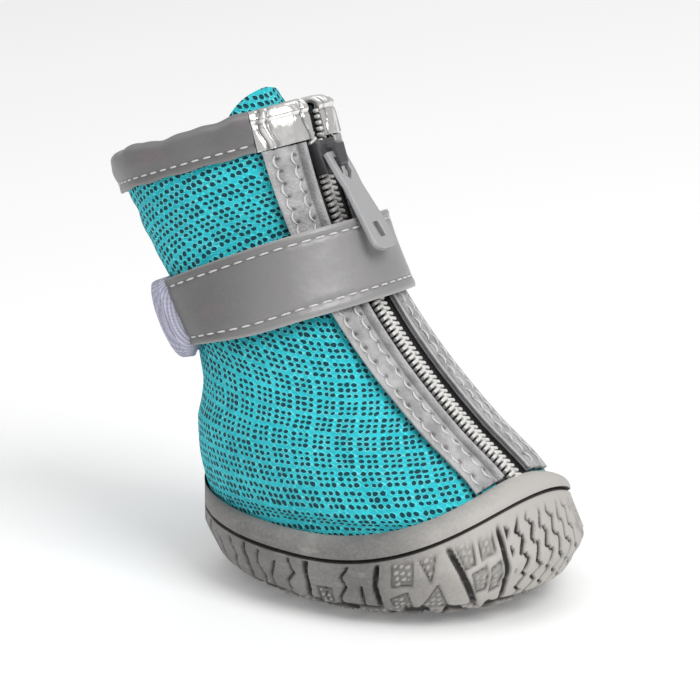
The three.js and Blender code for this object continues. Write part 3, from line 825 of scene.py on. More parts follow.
@dataclass(frozen=True)
class SilverFoil:
    """Bright foil on cloth with soft creases, with painted dark reflections in its creases and painted shade
    under its folded lip.
    """

    name: str = "silver_foil"
    silver: Colour = (0.86, 0.85, 0.83)

    def material(self) -> bpy.types.Material:
        """Builds the material."""
        graph = Graph(self.name)
        crease = graph.noise(2.6, 3, (0.5, 1.4, 0.5))
        # Painted dark reflections in the creases near the ends and painted shade under the folded lip.
        dark = tuple(0.16 * c for c in self.silver)
        colour = graph.blend(graph.math("MULTIPLY", graph.mark("dent"), 0.9), self.silver, dark)
        # Painted dark reflections along the soft creases.
        colour = graph.blend(graph.between(crease, 0.62, 0.8, 0.0, 0.3), colour, dark)
        rough = graph.math("MULTIPLY_ADD", graph.noise(1.1, 3), 0.2, 0.1)
        return graph.dress(colour, rough, graph.bump(crease, 0.3), Metallic=0.82, Coat_Weight=0.3)


@dataclass(frozen=True)
class WovenCloth:
    """Close woven cloth, whose ribs follow the UV map."""

    name: str
    thread: Colour
    valley: Colour
    pitch: float = 0.42
    rib: float = 0.0

    def material(self) -> bpy.types.Material:
        """Builds the material."""
        graph = Graph(self.name)
        across, up = graph.cloth()
        warp = graph.math("SINE", graph.math("MULTIPLY", across, TURN / self.pitch))
        weft = graph.math("SINE", graph.math("MULTIPLY", up, TURN / self.pitch))
        weave = graph.math("MULTIPLY_ADD", graph.math("MULTIPLY", warp, weft), 0.5, 0.5)
        if self.rib:
            stir = graph.math("MULTIPLY", graph.noise(1.5, 2), 1.2)
            ribs = graph.math("SINE", graph.math("MULTIPLY_ADD", across, TURN / self.rib, stir))
            weave = graph.math("MULTIPLY_ADD", ribs, 0.32, graph.math("MULTIPLY_ADD", weave, 0.45, 0.25))
        colour = graph.blend(graph.between(weave, 0.1, 0.75), self.valley, self.thread)
        tired = tuple(0.82 * c for c in self.thread)
        colour = graph.blend(graph.between(graph.noise(2.0, 4), 0.45, 0.72, 0.0, 0.5), colour, tired)
        # Painted shade in the dents that a piece marks.
        dark = tuple(0.35 * c for c in self.thread)
        colour = graph.blend(graph.math("MULTIPLY", graph.mark("dent"), 0.8), colour, dark)
        rough = graph.math("MULTIPLY_ADD", weave, -0.15, 0.85)
        fine = graph.bump(graph.noise(0.2, 2), 0.05)
        return graph.dress(colour, rough, graph.bump(weave, 0.14, fine), Sheen_Weight=0.2)


@dataclass(frozen=True)
class Plated:
    """Plated or painted metal with fine scratches and darker patches."""

    name: str
    bright: Colour
    dull: Colour
    metallic: float
    rough: float

    def material(self) -> bpy.types.Material:
        """Builds the material."""
        graph = Graph(self.name)
        cloud = graph.noise(4.0, 3)
        scratch = graph.noise(0.5, 4, (0.35, 2.2, 0.35))
        colour = graph.blend(graph.between(cloud, 0.4, 0.8, 0.0, 0.6), self.bright, self.dull)
        bare = tuple(min(1.0, 1.5 * c) for c in self.bright)
        colour = graph.blend(graph.between(scratch, 0.62, 0.72, 0.0, 0.45), colour, bare)
        rough = graph.math("MULTIPLY_ADD", scratch, 0.25, self.rough)
        return graph.dress(colour, rough, graph.bump(scratch, 0.04), Metallic=self.metallic)


@dataclass(frozen=True)
class Thread:
    """Twisted sewing thread."""

    name: str = "sewing_thread"
    white: Colour = (0.82, 0.81, 0.8)
    shade: Colour = (0.5, 0.49, 0.5)

    def material(self) -> bpy.types.Material:
        """Builds the material."""
        graph = Graph(self.name)
        twist = graph.noise(0.16, 2, (1.0, 1.0, 2.2))
        colour = graph.blend(graph.between(twist, 0.3, 0.7), self.shade, self.white)
        rough = graph.between(twist, 0.3, 0.7, 0.75, 0.55)
        return graph.dress(colour, rough, graph.bump(twist, 0.08), Sheen_Weight=0.2)


@dataclass(frozen=True)
class CoilPlastic:
    """Pale moulded coil plastic with patches of grime."""

    name: str = "coil_plastic"
    pale: Colour = (0.74, 0.73, 0.71)
    grime: Colour = (0.2, 0.195, 0.19)

    def material(self) -> bpy.types.Material:
        """Builds the material."""
        graph = Graph(self.name)
        soil = graph.between(graph.noise(0.9, 4), 0.52, 0.78, 0.0, 0.55)
        colour = graph.blend(soil, self.pale, self.grime)
        rough = graph.math("MULTIPLY_ADD", graph.noise(0.5, 2), 0.2, 0.25)
        return graph.dress(colour, rough, graph.bump(graph.noise(0.3, 2), 0.04), Metallic=0.15)


# ---------------------------------------------------------------------------------------------------------
# Outsole and insole
# ---------------------------------------------------------------------------------------------------------


@dataclass(frozen=True)
class Tread:
    """The moulded pattern: how deep it is cut below the sole's outer skin, in millimetres."""

    ground: float = 0.75
    cut: float = 1.15
    squares: tuple = (
        (14.3, 13.9, 2.9), (10.0, 16.8, 4.6), (15.0, -14.3, 2.9), (10.5, -16.9, 4.6), (14.5, -19.1, 3.6),
        (3.5, 15.8, 4.6), (-0.9, 13.9, 3.6), (-4.5, 11.2, 2.9), (-0.9, 19.9, 3.6), (-5.4, 17.7, 4.6),
        (2.6, 21.9, 3.6), (-5.4, 21.6, 2.9), (4.4, -16.7, 4.6), (0.0, -14.5, 3.6), (-3.4, -12.3, 2.9),
        (0.0, -20.3, 3.6), (-4.1, -17.9, 4.6), (4.4, -22.0, 3.6), (-11.0, 14.6, 3.6), (-15.1, 17.0, 3.6),
        (-18.4, 14.8, 3.6), (-12.6, 19.7, 3.6), (-9.7, -15.7, 3.6), (-13.5, -17.2, 3.6), (-19.0, -14.4, 3.6),
        (-13.0, -20.4, 2.9), (-20.6, 10.6, 3.2), (-21.6, -10.4, 3.2),
    )
    pierced: tuple = (
        ((25.3, 6.4), (20.4, 4.7), (23.7, 1.7)), ((19.9, 5.1), (21.9, 0.5), (17.5, 0.8)),
        ((22.2, -0.9), (17.5, -0.7), (19.7, -5.0)), ((24.6, -1.6), (20.1, -5.3), (24.6, -6.7)),
        ((22.2, 12.9), (21.9, 8.0), (25.8, 8.5)), ((20.8, 12.2), (16.8, 10.2), (20.6, 7.8)),
        ((18.3, 16.3), (17.5, 12.4), (21.0, 14.4)), ((22.6, -8.0), (22.4, -12.6), (25.5, -10.4)),
        ((20.8, -7.7), (17.0, -10.9), (20.6, -12.8)), ((21.0, -14.5), (18.3, -12.3), (19.2, -17.6)),
        ((-6.3, 6.8), (-11.5, 4.2), (-7.4, 0.4)), ((-12.4, 4.4), (-10.1, 0.5), (-14.8, 0.3)),
        ((-10.1, -0.8), (-14.8, -0.8), (-12.4, -5.5)), ((-7.0, -0.9), (-11.0, -5.5), (-5.4, -7.6)),
        ((-8.6, 12.9), (-11.7, 10.7), (-7.9, 8.2)), ((-15.5, 13.9), (-12.4, 11.0), (-16.4, 9.5)),
        ((-12.2, 10.0), (-9.2, 7.5), (-12.6, 5.8)), ((-13.5, 9.5), (-18.0, 7.3), (-14.0, 5.4)),
        ((-11.3, -6.9), (-10.8, -10.4), (-7.4, -9.2)), ((-12.2, -6.7), (-16.2, -8.7), (-12.2, -11.1)),
        ((-7.2, -10.6), (-10.1, -11.8), (-7.2, -15.0)), ((-15.3, -11.3), (-15.3, -14.7), (-11.7, -13.0)),
        ((-19.8, 8.3), (-18.4, 5.8), (-21.8, 5.6)), ((-18.6, -6.0), (-21.2, -6.2), (-19.1, -8.7)),
    )
    beaded: tuple = (
        ((16.1, 9.0), (18.6, 6.8), (15.2, 5.4)), ((18.1, 6.1), (14.8, 3.7), (15.4, 0.5), (16.8, 1.7)),
        ((16.8, -0.7), (14.8, -0.4), (15.4, -2.6), (17.5, -4.6)), ((17.9, -6.5), (14.8, -4.8), (16.3, -8.2)),
        ((-5.6, 5.1), (-6.5, -0.2), (-4.8, -5.5), (-3.9, -2.6), (-4.0, 2.2)),
    )
    ribbed: tuple = (
        ((5.8, 11.4), (2.2, 12.0), (0.2, 9.5), (4.0, 3.7), (5.2, 3.1)),
        ((0.0, 8.0), (-2.7, 9.1), (-4.9, 7.1), (-2.7, 3.7), (1.7, 2.0), (3.0, 3.7)),
        ((13.9, -4.8), (10.5, -2.6), (7.0, -9.4), (7.6, -12.1), (9.4, -12.6)),
        ((9.5, -3.1), (6.0, -2.8), (6.4, -7.5)),
        ((5.2, -3.8), (3.5, -3.5), (1.1, -10.4), (2.6, -12.3), (6.2, -11.0)),
        ((2.6, -3.3), (0.2, -2.5), (-4.0, -7.5), (-2.3, -10.0), (-0.1, -9.4)),
        ((14.5, -6.5), (12.7, -10.4), (13.4, -11.3), (15.7, -8.4)),
    )
    studs: tuple = ((11.8, 0.2), (7.6, 0.2), (3.1, 0.0), (-1.2, -0.2))
    ring_panel: tuple = ((15.2, 10.5), (7.1, 12.6), (7.1, 3.2), (13.4, 3.0))
    ring_middle: tuple = (10.9, 7.5)
    sectors: tuple = (
        ((17.7, 16.8), (15.9, 10.0)), ((4.4, 24.5), (6.7, 13.4)), ((-10.8, 22.0), (-6.3, 7.6)),
        ((-20.7, 13.4), (-17.0, 5.0)), ((15.9, -9.4), (18.3, -16.7)), ((8.0, -13.0), (6.2, -24.0)),
        ((-5.4, -8.0), (-9.4, -22.0)), ((-16.9, -5.0), (-20.3, -13.8)), ((-5.9, 7.6), (-16.2, 4.6)),
        ((-16.2, 4.6), (-27.5, 5.2)), ((-5.4, -8.0), (-16.6, -5.2)), ((-16.6, -5.2), (-27.5, -5.0)),
        ((15.7, 10.5), (18.8, 7.1)), ((18.8, 7.1), (27.0, 7.2)), ((15.7, -9.4), (19.7, -6.6)),
        ((19.7, -6.6), (27.0, -7.2)), ((25.5, 7.1), (25.5, -7.3)), ((-16.6, 4.6), (-16.6, -5.3)),
        ((6.7, 13.1), (5.6, 2.4)), ((5.6, -2.6), (6.7, -11.8)),
    )
    panel: tuple = (5.1, 0.0, 10.3, 13.0)
    wall_cuts: tuple = (
        ((19.2, 1.02), (16.6, 0.55), (11.8, -0.1)), ((10.3, 1.05), (9.8, 0.5), (8.2, -0.3)),
        ((29.7, 1.02), (30.1, 0.6), (29.3, 0.25), (28.4, -0.1)), ((41.8, 1.02), (42.2, 0.4), (43.4, -0.1)),
        ((55.0, 1.02), (55.6, 0.4), (56.8, -0.1)), ((66.5, 1.02), (67.0, 0.5), (67.8, -0.1)),
        ((79.6, 1.02), (79.4, 0.0)),
    )
    wall_sipes: tuple = (
        ((34.6, 0.94), (35.7, 0.74), (35.0, 0.56), (36.3, 0.34), (36.0, 0.04)), ((32.4, 0.58), (31.9, 0.04)),
        ((45.2, 0.94), (44.6, 0.66), (46.4, 0.48), (46.2, 0.3)), ((48.2, 0.8), (50.0, 0.5), (50.2, 0.24)),
        ((51.6, 0.92), (52.6, 0.66), (51.8, 0.42), (53.2, 0.14)), ((38.8, 0.5), (39.3, 0.04)),
        ((59.0, 0.94), (58.4, 0.66), (60.2, 0.46), (59.6, 0.1)), ((62.6, 0.8), (64.0, 0.5), (63.4, 0.14)),
        ((70.2, 0.94), (69.6, 0.66), (71.4, 0.46), (70.8, 0.1)), ((74.6, 0.8), (75.8, 0.5), (75.2, 0.14)),
    )
    wall_beaded: tuple = (
        ((27.4, 0.96), (24.4, 0.96), (24.4, 0.58), (27.4, 0.58)), ((23.6, 0.98), (20.6, 0.98), (21.6, 0.6)),
        ((27.6, 0.36), (25.0, 0.46), (23.8, 0.14), (26.4, 0.04)), ((22.6, 0.16), (20.4, 0.52), (18.0, 0.14)),
        ((17.8, 0.96), (15.0, 0.96), (14.8, 0.68), (16.4, 0.66)),
        ((13.9, 0.98), (11.2, 0.98), (11.4, 0.72), (13.7, 0.7)),
        ((15.4, 0.58), (13.2, 0.62), (12.6, 0.34), (14.0, 0.32)),
        ((12.4, 0.58), (10.8, 0.62), (10.4, 0.34), (11.8, 0.3)),
        ((40.6, 0.5), (37.6, 0.5), (37.8, 0.14), (40.4, 0.14)),
    )

    @staticmethod
    def inside(gap: Array, soft: float = 0.14) -> Array:
        """One where a distance is negative, nought where it is positive, with a soft step."""
        return 1 - ramp(-soft, soft, gap)

    def underside(self, x: Array, y: Array) -> tuple[Array, Array]:
        """Depth and beads of the pattern under the sole, at plan places."""
        depth = np.full(x.shape, self.ground)
        bead = np.zeros(x.shape)

        def raise_block(gap: Array, top: float = 0.0) -> Array:
            """Raises a block to a depth below the skin."""
            share = self.inside(gap)
            depth[:] = mix(depth, top, share)
            return share

        def bead_block(gap: Array, turn: float) -> None:
            """Raises a block covered with small beads."""
            share = raise_block(gap, 0.2)
            across, up = x * math.cos(turn) + y * math.sin(turn), y * math.cos(turn) - x * math.sin(turn)
            lump = dots(across, up, 1.05, 0.27) * share * self.inside(gap + 0.3)
            depth[:] -= 0.2 * lump
            bead[:] = np.maximum(bead, lump)

        for middle_x, middle_y, size in self.squares:
            turn = math.atan2(middle_y, middle_x - 6)
            along = (x - middle_x) * math.cos(turn) + (y - middle_y) * math.sin(turn)
            up = (y - middle_y) * math.cos(turn) - (x - middle_x) * math.sin(turn)
            bead_block(np.maximum(np.abs(along), np.abs(up)) - size / 2, turn)
        for corners in self.beaded:
            bead_block(from_polygon(x, y, corners), 0.4)
        for middle_x, middle_y in self.studs:
            across, up = np.abs(x - middle_x), np.abs(y - middle_y)
            bead_block(np.maximum(across * 0.866 + up * 0.5, up) - 1.95, 0.0)
        for corners in self.pierced:
            gap = from_polygon(x, y, corners)
            raise_block(gap)
            middle = np.mean(corners, axis=0)
            depth[:] += 0.7 * self.inside(np.hypot(x - middle[0], y - middle[1]) - 0.32)
        for corners in self.ribbed:
            gap = from_polygon(x, y, corners)
            share = raise_block(gap)
            middle = np.mean(corners, axis=0)
            ribs = wrapped((y - middle[1]) * 0.35 + (x - middle[0]) + 0.75 * np.abs(y - middle[1]), 1.15)
            depth[:] += 0.42 * share * (1 - ramp(0.16, 0.36, ribs))
        gap = from_polygon(x, y, self.ring_panel)
        raise_block(gap)
        reach = np.hypot(x - self.ring_middle[0], y - self.ring_middle[1])
        for radius in (3.3, 2.6, 1.3):
            depth[:] += 0.3 * self.inside(np.abs(reach - radius) - 0.12)
        lattice = (x < -16.9) & (np.abs(y) < 5.1)
        lines = np.minimum(wrapped(x + 1.15 * y, 3.5), wrapped(x - 1.15 * y, 3.5)) / 1.52
        depth[:] = np.where(lattice, 0.62 * self.inside(lines - 0.2, 0.1), depth)
        for start, end in self.sectors:
            depth[:] = np.maximum(depth, self.cut * self.inside(from_segment(x, y, start, end) - 0.3))
        middle_x, middle_y, half_x, half_y = self.panel
        oval = np.hypot((x - middle_x) / half_x, (y - middle_y) / half_y)
        rim = np.abs(oval - 1) * (half_x + half_y) / 2
        depth[:] = np.maximum(depth, self.cut * self.inside(rim - 0.3))
        return depth, bead

    def wall(self, along: Array, up: Array, height: Array, reach: Array) -> tuple[Array, Array]:
        """Depth and beads of the pattern on the sole's wall.

        Args:
            along: Distance round the outline from the toe, to either side.
            up: Share of the wall's height.
            height: The wall's height there.
            reach: Signed distance round the outline from the toe.

        Returns:
            Depth and beads.
        """
        depth = np.zeros(along.shape)
        bead = np.zeros(along.shape)
        y = up * height

        def cut_line(points: Sequence, half: float, deep: float) -> None:
            """Cuts a groove along a broken line."""
            for start, end in zip(points, points[1:]):
                ends = [(p[0], p[1] * 9.4) for p in (start, end)]
                gap = from_segment(along, up * 9.4, *ends) - half
                depth[:] = np.maximum(depth, deep * self.inside(gap, 0.22))

        for points in self.wall_cuts:
            cut_line(points, 0.34, 1.1)
        for points in self.wall_sipes:
            cut_line(points, 0.2, 0.75)
        notch = wrapped(along - 1.2, 3.3) + 0.1 * np.sin(along)
        edge = self.inside(notch - 0.28) * (1 - ramp(0.1, 0.2, up)) * (along > 9) * (along < 80)
        depth[:] = np.maximum(depth, 0.9 * edge)
        for corners in self.wall_beaded:
            gap = from_polygon(along, up * 9.4, [(p[0], p[1] * 9.4) for p in corners])
            depth[:] = np.maximum(depth, 0.5 * self.inside(np.abs(gap) - 0.16, 0.2))
            depth[:] = np.maximum(depth, 0.3 * self.inside(gap, 0.2))
            lump = dots(along + 0.3 * y, y, 1.0, 0.27) * self.inside(gap + 0.35)
            depth[:] -= 0.34 * lump
            bead[:] = np.maximum(bead, lump)
        toe = self.inside(along - (9.3 - 1.6 * (1 - up)))
        column = np.round(reach / 2.6 - 0.5)
        scales = np.full(along.shape, 9.0)
        for step in (0, 1, -1):
            line = column + step
            phase = (y / 3.1 + 0.5 * (line % 2)) % 1
            swing = np.where(phase < 0.7, phase / 0.7, (1 - phase) / 0.3) - 0.5
            scales = np.minimum(scales, np.abs(reach - (line + 0.5) * 2.6 - 1.15 * swing) * 0.86)
        leaf = 0.95 * self.inside(scales - 0.24, 0.14)
        lattice = np.minimum(wrapped(y + 1.1 * reach, 3.3), wrapped(y - 1.1 * reach, 3.3)) / 1.49
        low = 1 - ramp(2.2, 2.8, y)
        leaf = mix(leaf, 0.85 * self.inside(lattice - 0.24, 0.14), low)
        depth[:] = mix(depth, leaf, toe)
        heel = self.inside(79.6 - along)
        cross = np.minimum(wrapped(y + 1.1 * reach, 3.4), wrapped(y - 1.1 * reach, 3.4)) / 1.49
        depth[:] = mix(depth, 0.8 * self.inside(cross - 0.24, 0.14), heel)
        return depth, bead


@dataclass
class Outsole:
    """The domed cup sole with its rand and moulded tread."""

    length: float = 61.6
    width: float = 48.0
    squareness: float = 2.1
    egg: float = 0.05
    floor: float = 5.0
    lip: float = 12.4
    toe_rise: float = 7.4
    heel_rise: float = 1.2
    rand_side: float = 2.8
    rand_toe: float = 1.5
    gap: float = 0.5
    spring: float = 1.2
    columns: int = 600
    shares: tuple = (0, 0.15, 0.3, 0.58, 0.72, 0.83, 0.91, 0.96)
    heights: tuple = (0, 0, 0, 0, 0.5, 1.6, 3.3, 5.8)
    cells: tuple = (8, 12, 26, 14, 12, 10, 10, 9, 14, 2, 2)

    def outline(self, angle: Array, share: Array) -> Array:
        """Plan points on a share of the outline."""
        along = bowed(np.cos(angle), self.squareness)
        across = bowed(np.sin(angle), self.squareness) * (1 + self.egg * np.cos(angle))
        return np.stack((share * along * self.length / 2, share * across * self.width / 2), axis=-1)

    def lip_height(self, angle: Array) -> Array:
        """Height of the rand's lip."""
        toeward = np.maximum(0, np.cos(angle)) ** 2.4
        return self.lip + self.toe_rise * toeward + self.heel_rise * np.maximum(0, -np.cos(angle)) ** 2

    def rings(self, angle: Array) -> list[Array]:
        """The sole's section lines, from the middle of the tread over the lip to the middle of the floor."""
        toeward = np.maximum(0, np.cos(angle)) ** 2.4
        lip = self.lip_height(angle)
        groove = lip - mix(self.rand_side, self.rand_toe, toeward)
        bulge = mix(1, 0.89, toeward)

        def plan(share: Array, height: Array) -> Array:
            """A ring at a share of the outline and a height."""
            full = np.ones(angle.shape)
            return np.concatenate((self.outline(angle, share * full), (height * full)[:, None]), axis=1)

        rings = [
            plan(share, height + self.spring * ramp(0.5, 1, share) * toeward)
            for share, height in zip(self.shares, self.heights)
        ]
        rings.append(plan(1.0, mix(8.2, 10.5, toeward)))
        rings += [plan(bulge, groove - 0.35), plan(bulge - 0.03, groove), plan(bulge, groove + 0.35)]
        foot = rings[-1]
        edge = Last.skin(Last.row_at_height(angle, lip), angle, np.full(angle.shape, self.gap))
        edge[:, 2] += 0.25
        shoulder = foot.copy()
        shoulder[:, 2] = mix(foot[:, 2], edge[:, 2] + 0.05, 0.9)
        for share in np.linspace(0.1, 1, 10):
            rings.append(foot * (1 - share) ** 2 + shoulder * 2 * share * (1 - share) + edge * share**2)
        for share in (0.12, 0.55, 0.8, 1.0):
            height = mix(lip - 0.3, self.floor + 0.3, share)
            rings.append(Last.skin(Last.row_at_height(angle, height), angle, np.full(angle.shape, self.gap)))
        rim = rings[-1].copy()
        rim[:, 2] = self.floor
        rings += [rim, rim * np.array([0, 0, 1])]
        return rings

    def build(self) -> bpy.types.Object:
        """Models the cup and cuts its tread."""
        angles = np.linspace(0, TURN, self.columns + 1)
        net = np.stack(self.rings(angles))
        steps = np.linalg.norm(np.diff(net, axis=0), axis=2)
        reach = np.concatenate((np.zeros((1, len(angles))), np.cumsum(steps, axis=0)))
        edge = self.outline(angles, np.ones(angles.shape))
        around = np.concatenate(([0.0], np.cumsum(np.linalg.norm(np.diff(edge, axis=0), axis=1))))
        knots = [0.0]
        for start, count in enumerate((*self.cells, *([2] * 10), *([2] * 4), 1, 3)):
            knots += list(start + (np.arange(count) + 1) / count)
        knots = np.array(knots)

        def shape(knot: Array, index: Array) -> Array:
            """Points on the smooth skin, between the section lines."""
            low = np.clip(np.floor(knot).astype(int), 0, len(net) - 2)
            share = (knot - low)[:, None]
            start, end = net[low, index], net[low + 1, index]
            before, after = net[np.maximum(low - 1, 0), index], net[np.minimum(low + 2, len(net) - 1), index]
            curve = 0.5 * (
                2 * start
                + (end - before) * share
                + (2 * before - 5 * start + 4 * end - after) * share**2
                + (3 * (start - end) + after - before) * share**3
            )
            return np.where((low < 8)[:, None], curve, mix(start, end, share))

        rows = len(knots) - 1
        marks: dict[str, Array] = {}

        def place(across: Array, up: Array) -> Array:
            """The cut skin, from the middle of the tread over the lip to the floor."""
            index = np.round(across * self.columns).astype(int)
            knot = knots[np.round(up * rows).astype(int)]
            spot = shape(knot, index)
            step = 0.02
            turn = shape(knot, (index + 1) % self.columns) - shape(knot, (index - 1) % self.columns)
            rise = shape(knot + step, index) - shape(knot - step, index)
            out = np.cross(turn, rise)
            size = np.linalg.norm(out, axis=1, keepdims=True)
            out = np.where(size > 1e-7, out / np.maximum(size, 1e-9), np.array([0.0, 0.0, -1.0]))
            low = np.clip(np.floor(knot).astype(int), 0, len(net) - 2)
            run = mix(reach[low, index], reach[low + 1, index], knot - low)
            foot, head = reach[5, index], reach[9, index]
            along = around[index]
            signed = np.where(along > around[-1] / 2, along - around[-1], along)
            tread = Tread()
            under, under_bead = tread.underside(spot[:, 0], spot[:, 1])
            side, side_bead = tread.wall(np.abs(signed), (run - foot) / (head - foot), head - foot, signed)
            share = ramp(5.1, 6.0, knot)
            fade = 1 - ramp(8.55, 8.95, knot)
            depth = mix(under, side, share) * fade
            # The depth mark darkens the cuts and the rand's groove as painted shade.
            marks["depth"] = depth + 1.2 * (np.abs(knot - 10) < 0.6)
            marks["proud"] = mix(under_bead, side_bead, share) * fade
            return spot - out * depth[:, None]

        piece = Bench.sheet("outsole_tread", self.columns, rows, place)
        for mark, values in marks.items():
            Bench.mark(piece, mark, values)
        Bench.merge(piece)
        Bench.smooth(piece, 48)
        return Bench.hand_over(piece, [MouldedRubber().material()], Slot.SOLE, stands_for=["outsole"])


@dataclass
class Insole:
    """The soft pad on the cup's floor."""

    top: float = 7.2
    thick: float = 1.7

    def build(self) -> bpy.types.Object:
        """Models the pad as a shallow dish."""

        def place(across: Array, up: Array) -> Array:
            """The pad, from its rim to its middle."""
            angle = across * TURN
            share = (1 - up) ** 0.8
            edge = Last.skin(np.zeros(angle.shape), angle, np.full(angle.shape, -WALL - 0.35))
            spot = edge * share[:, None]
            quilt = 0.12 * np.cos(spot[:, 0] * 0.9) * np.cos(spot[:, 1] * 0.9)
            spot[:, 2] = self.top - 0.45 * share**8 - 0.25 * (1 - share**2) + quilt * (1 - share**6)
            return spot

        piece = Bench.sheet("insole_pad", 120, 40, place)
        Bench.merge(piece)
        Bench.thicken(piece, self.thick)
        Bench.soften(piece, 0.35, 3)
        Bench.smooth(piece)
        cloth = WovenCloth("insole_cloth", (0.075, 0.075, 0.08), (0.02, 0.02, 0.022), 0.7)
        Bench.hand_over(piece, [cloth.material()], Slot.INSOLE, stands_for=["insole"])
        return piece


# ---------------------------------------------------------------------------------------------------------
# Upper and gusset
# ---------------------------------------------------------------------------------------------------------


@dataclass(frozen=True)
class Crease:
    """A soft trough, or a ridge where the depth is positive, lying on the upper."""

    turn: float
    row: float
    half_long: float
    half_wide: float
    depth: float
    tilt: float = 0.0

    def lift(self, row: Array, angle: Array) -> Array:
        """How far it moves the cloth outwards."""
        away = (angle - math.radians(self.turn) + math.pi) % TURN - math.pi
        across, up = away * 18, (row - self.row) * 7
        tilt = math.radians(self.tilt)
        along = across * math.cos(tilt) + up * math.sin(tilt)
        over = up * math.cos(tilt) - across * math.sin(tilt)
        return self.depth * np.exp(-((along / self.half_long) ** 2) - (over / self.half_wide) ** 2)


@dataclass
class Upper:
    """The mesh upper, open at the collar, down the front and underneath."""

    slot_half: float = 3.6
    slot_foot: float = 16.2
    columns: int = 250
    rows: int = 104
    square_from: float = 0.6
    creases: tuple = (
        Crease(-96, 4.35, 10, 1.7, -0.5, -10), Crease(-52, 3.75, 8, 1.5, -0.34, 24),
        Crease(-128, 3.5, 9, 2.0, -0.4, 12), Crease(94, 4.3, 11, 1.8, -0.5, 9),
        Crease(54, 3.6, 8, 1.5, -0.34, -20), Crease(132, 3.6, 9, 2.0, -0.4, -10),
        Crease(180, 4.0, 12, 2.2, -0.6), Crease(178, 3.1, 11, 2.6, 0.35),
        Crease(-108, 3.1, 13, 3.6, 0.45, -6), Crease(108, 3.1, 13, 3.6, 0.45, 6),
        Crease(-70, 2.4, 13, 3.2, 0.3, 4), Crease(70, 2.4, 13, 3.2, 0.3, -4),
        Crease(-104, 7.0, 10, 1.3, -0.42, 9), Crease(-66, 7.5, 8, 1.2, -0.3, -14),
        Crease(-146, 7.4, 8, 1.4, -0.36, 16), Crease(102, 7.1, 10, 1.3, -0.42, -8),
        Crease(64, 7.6, 8, 1.2, -0.3, 12), Crease(150, 7.3, 8, 1.4, -0.36, -14),
        Crease(182, 6.7, 9, 1.4, -0.45, 4), Crease(-88, 8.0, 12, 2.4, 0.3, 5),
        Crease(90, 8.0, 12, 2.4, 0.3, -5), Crease(-30, 2.9, 3, 7.0, -0.28), Crease(30, 2.9, 3, 7.0, -0.28),
    )

    def relief(self, row: Array, angle: Array) -> Array:
        """The creases, the swell over the rand and the squeeze under the strap."""
        lift = sum(crease.lift(row, angle) for crease in self.creases)
        around = (angle + math.pi) % TURN - math.pi
        squeeze = np.exp(-(((row - Strap.middle(around)) * 7 / 5.2) ** 2))
        swell = hump(row, 2.3, 0.9) * ramp(0.15, 0.6, np.abs(around))
        return lift - 0.3 * squeeze + 0.35 * swell

    def build(self) -> bpy.types.Object:
        """Models the upper."""
        foot_row = float(Last.row_at_height(np.zeros(1), self.slot_foot)[0])

        def place(across: Array, up: Array) -> Array:
            """The creased wall, from one edge of the slot round the back to the other."""
            row = up * COLLAR_ROW
            edge = Last.angle_at_across(row, np.full(row.shape, self.slot_half))
            edge = edge * ramp(foot_row - 0.3, foot_row, row)
            angle = mix(edge, TURN - edge, across)
            free = ramp(0.9, 1.8, row) * (1 - ramp(8.6, 9, row))
            return Last.skin(row, angle, self.relief(row, angle) * free)

        piece = Bench.sheet("upper_mesh", self.columns, self.rows, place, self.square_from)
        Bench.merge(piece)
        # The wall's inner side takes a darker copy of the air mesh: painted shade inside the boot.
        inner = AirMesh(
            "upper_inside_mesh_painted_shade",
            thread=(0.012, 0.27, 0.34),
            crest_highlight=(0.04, 0.45, 0.52),
            glint=(0.05, 0.5, 0.57),
            hole=(0.001, 0.05, 0.07),
        )
        Bench.dress(piece, [AirMesh().material(), inner.material()])
        Bench.thicken(piece, WALL, inside=1)
        Bench.smooth(piece, 70)
        return Bench.hand_over(piece, [], Slot.MESH, stands_for=["upper"])


@dataclass
class Gusset:
    """The mesh tongue behind the zip, rounded where it stands above the collar."""

    half_angle: float = 60
    foot_row: float = 4.4
    rise: float = 0.5
    thick: float = 1.0

    def build(self) -> bpy.types.Object:
        """Models the gusset with a puffed and rolled top."""

        def place(across: Array, up: Array) -> Array:
            """The tongue, which leans away from the zip towards its top."""
            side = 2 * across - 1
            top = COLLAR_ROW - 0.35 + (self.rise + 0.35) * np.maximum(0, 1 - np.abs(side) ** 5) ** 0.5
            row = mix(self.foot_row, top, up)
            lean = 0.5 + (1 - 0.45 * side**2) * (1.6 * ramp(6.5, 8.2, row) + 3.8 * ramp(8, 9.8, row))
            puff = 0.35 * ramp(0.75, 0.93, up) * (1 - ramp(0.93, 1.0, up)) * (1 - side**4)
            fold = 0.12 * np.sin(side * 9 + row) * ramp(0.2, 0.6, up)
            return Last.skin(row, side * math.radians(self.half_angle), puff + fold - WALL - lean)

        piece = Bench.sheet("gusset_mesh", 70, 90, place)
        Bench.thicken(piece, self.thick)
        Bench.soften(piece, 0.42, 3)
        Bench.smooth(piece, 70)
        mesh = AirMesh("gusset_air_mesh")
        return Bench.hand_over(piece, [mesh.material()], Slot.MESH, stands_for=["gusset"])


# ---------------------------------------------------------------------------------------------------------
# Stitches
# ---------------------------------------------------------------------------------------------------------


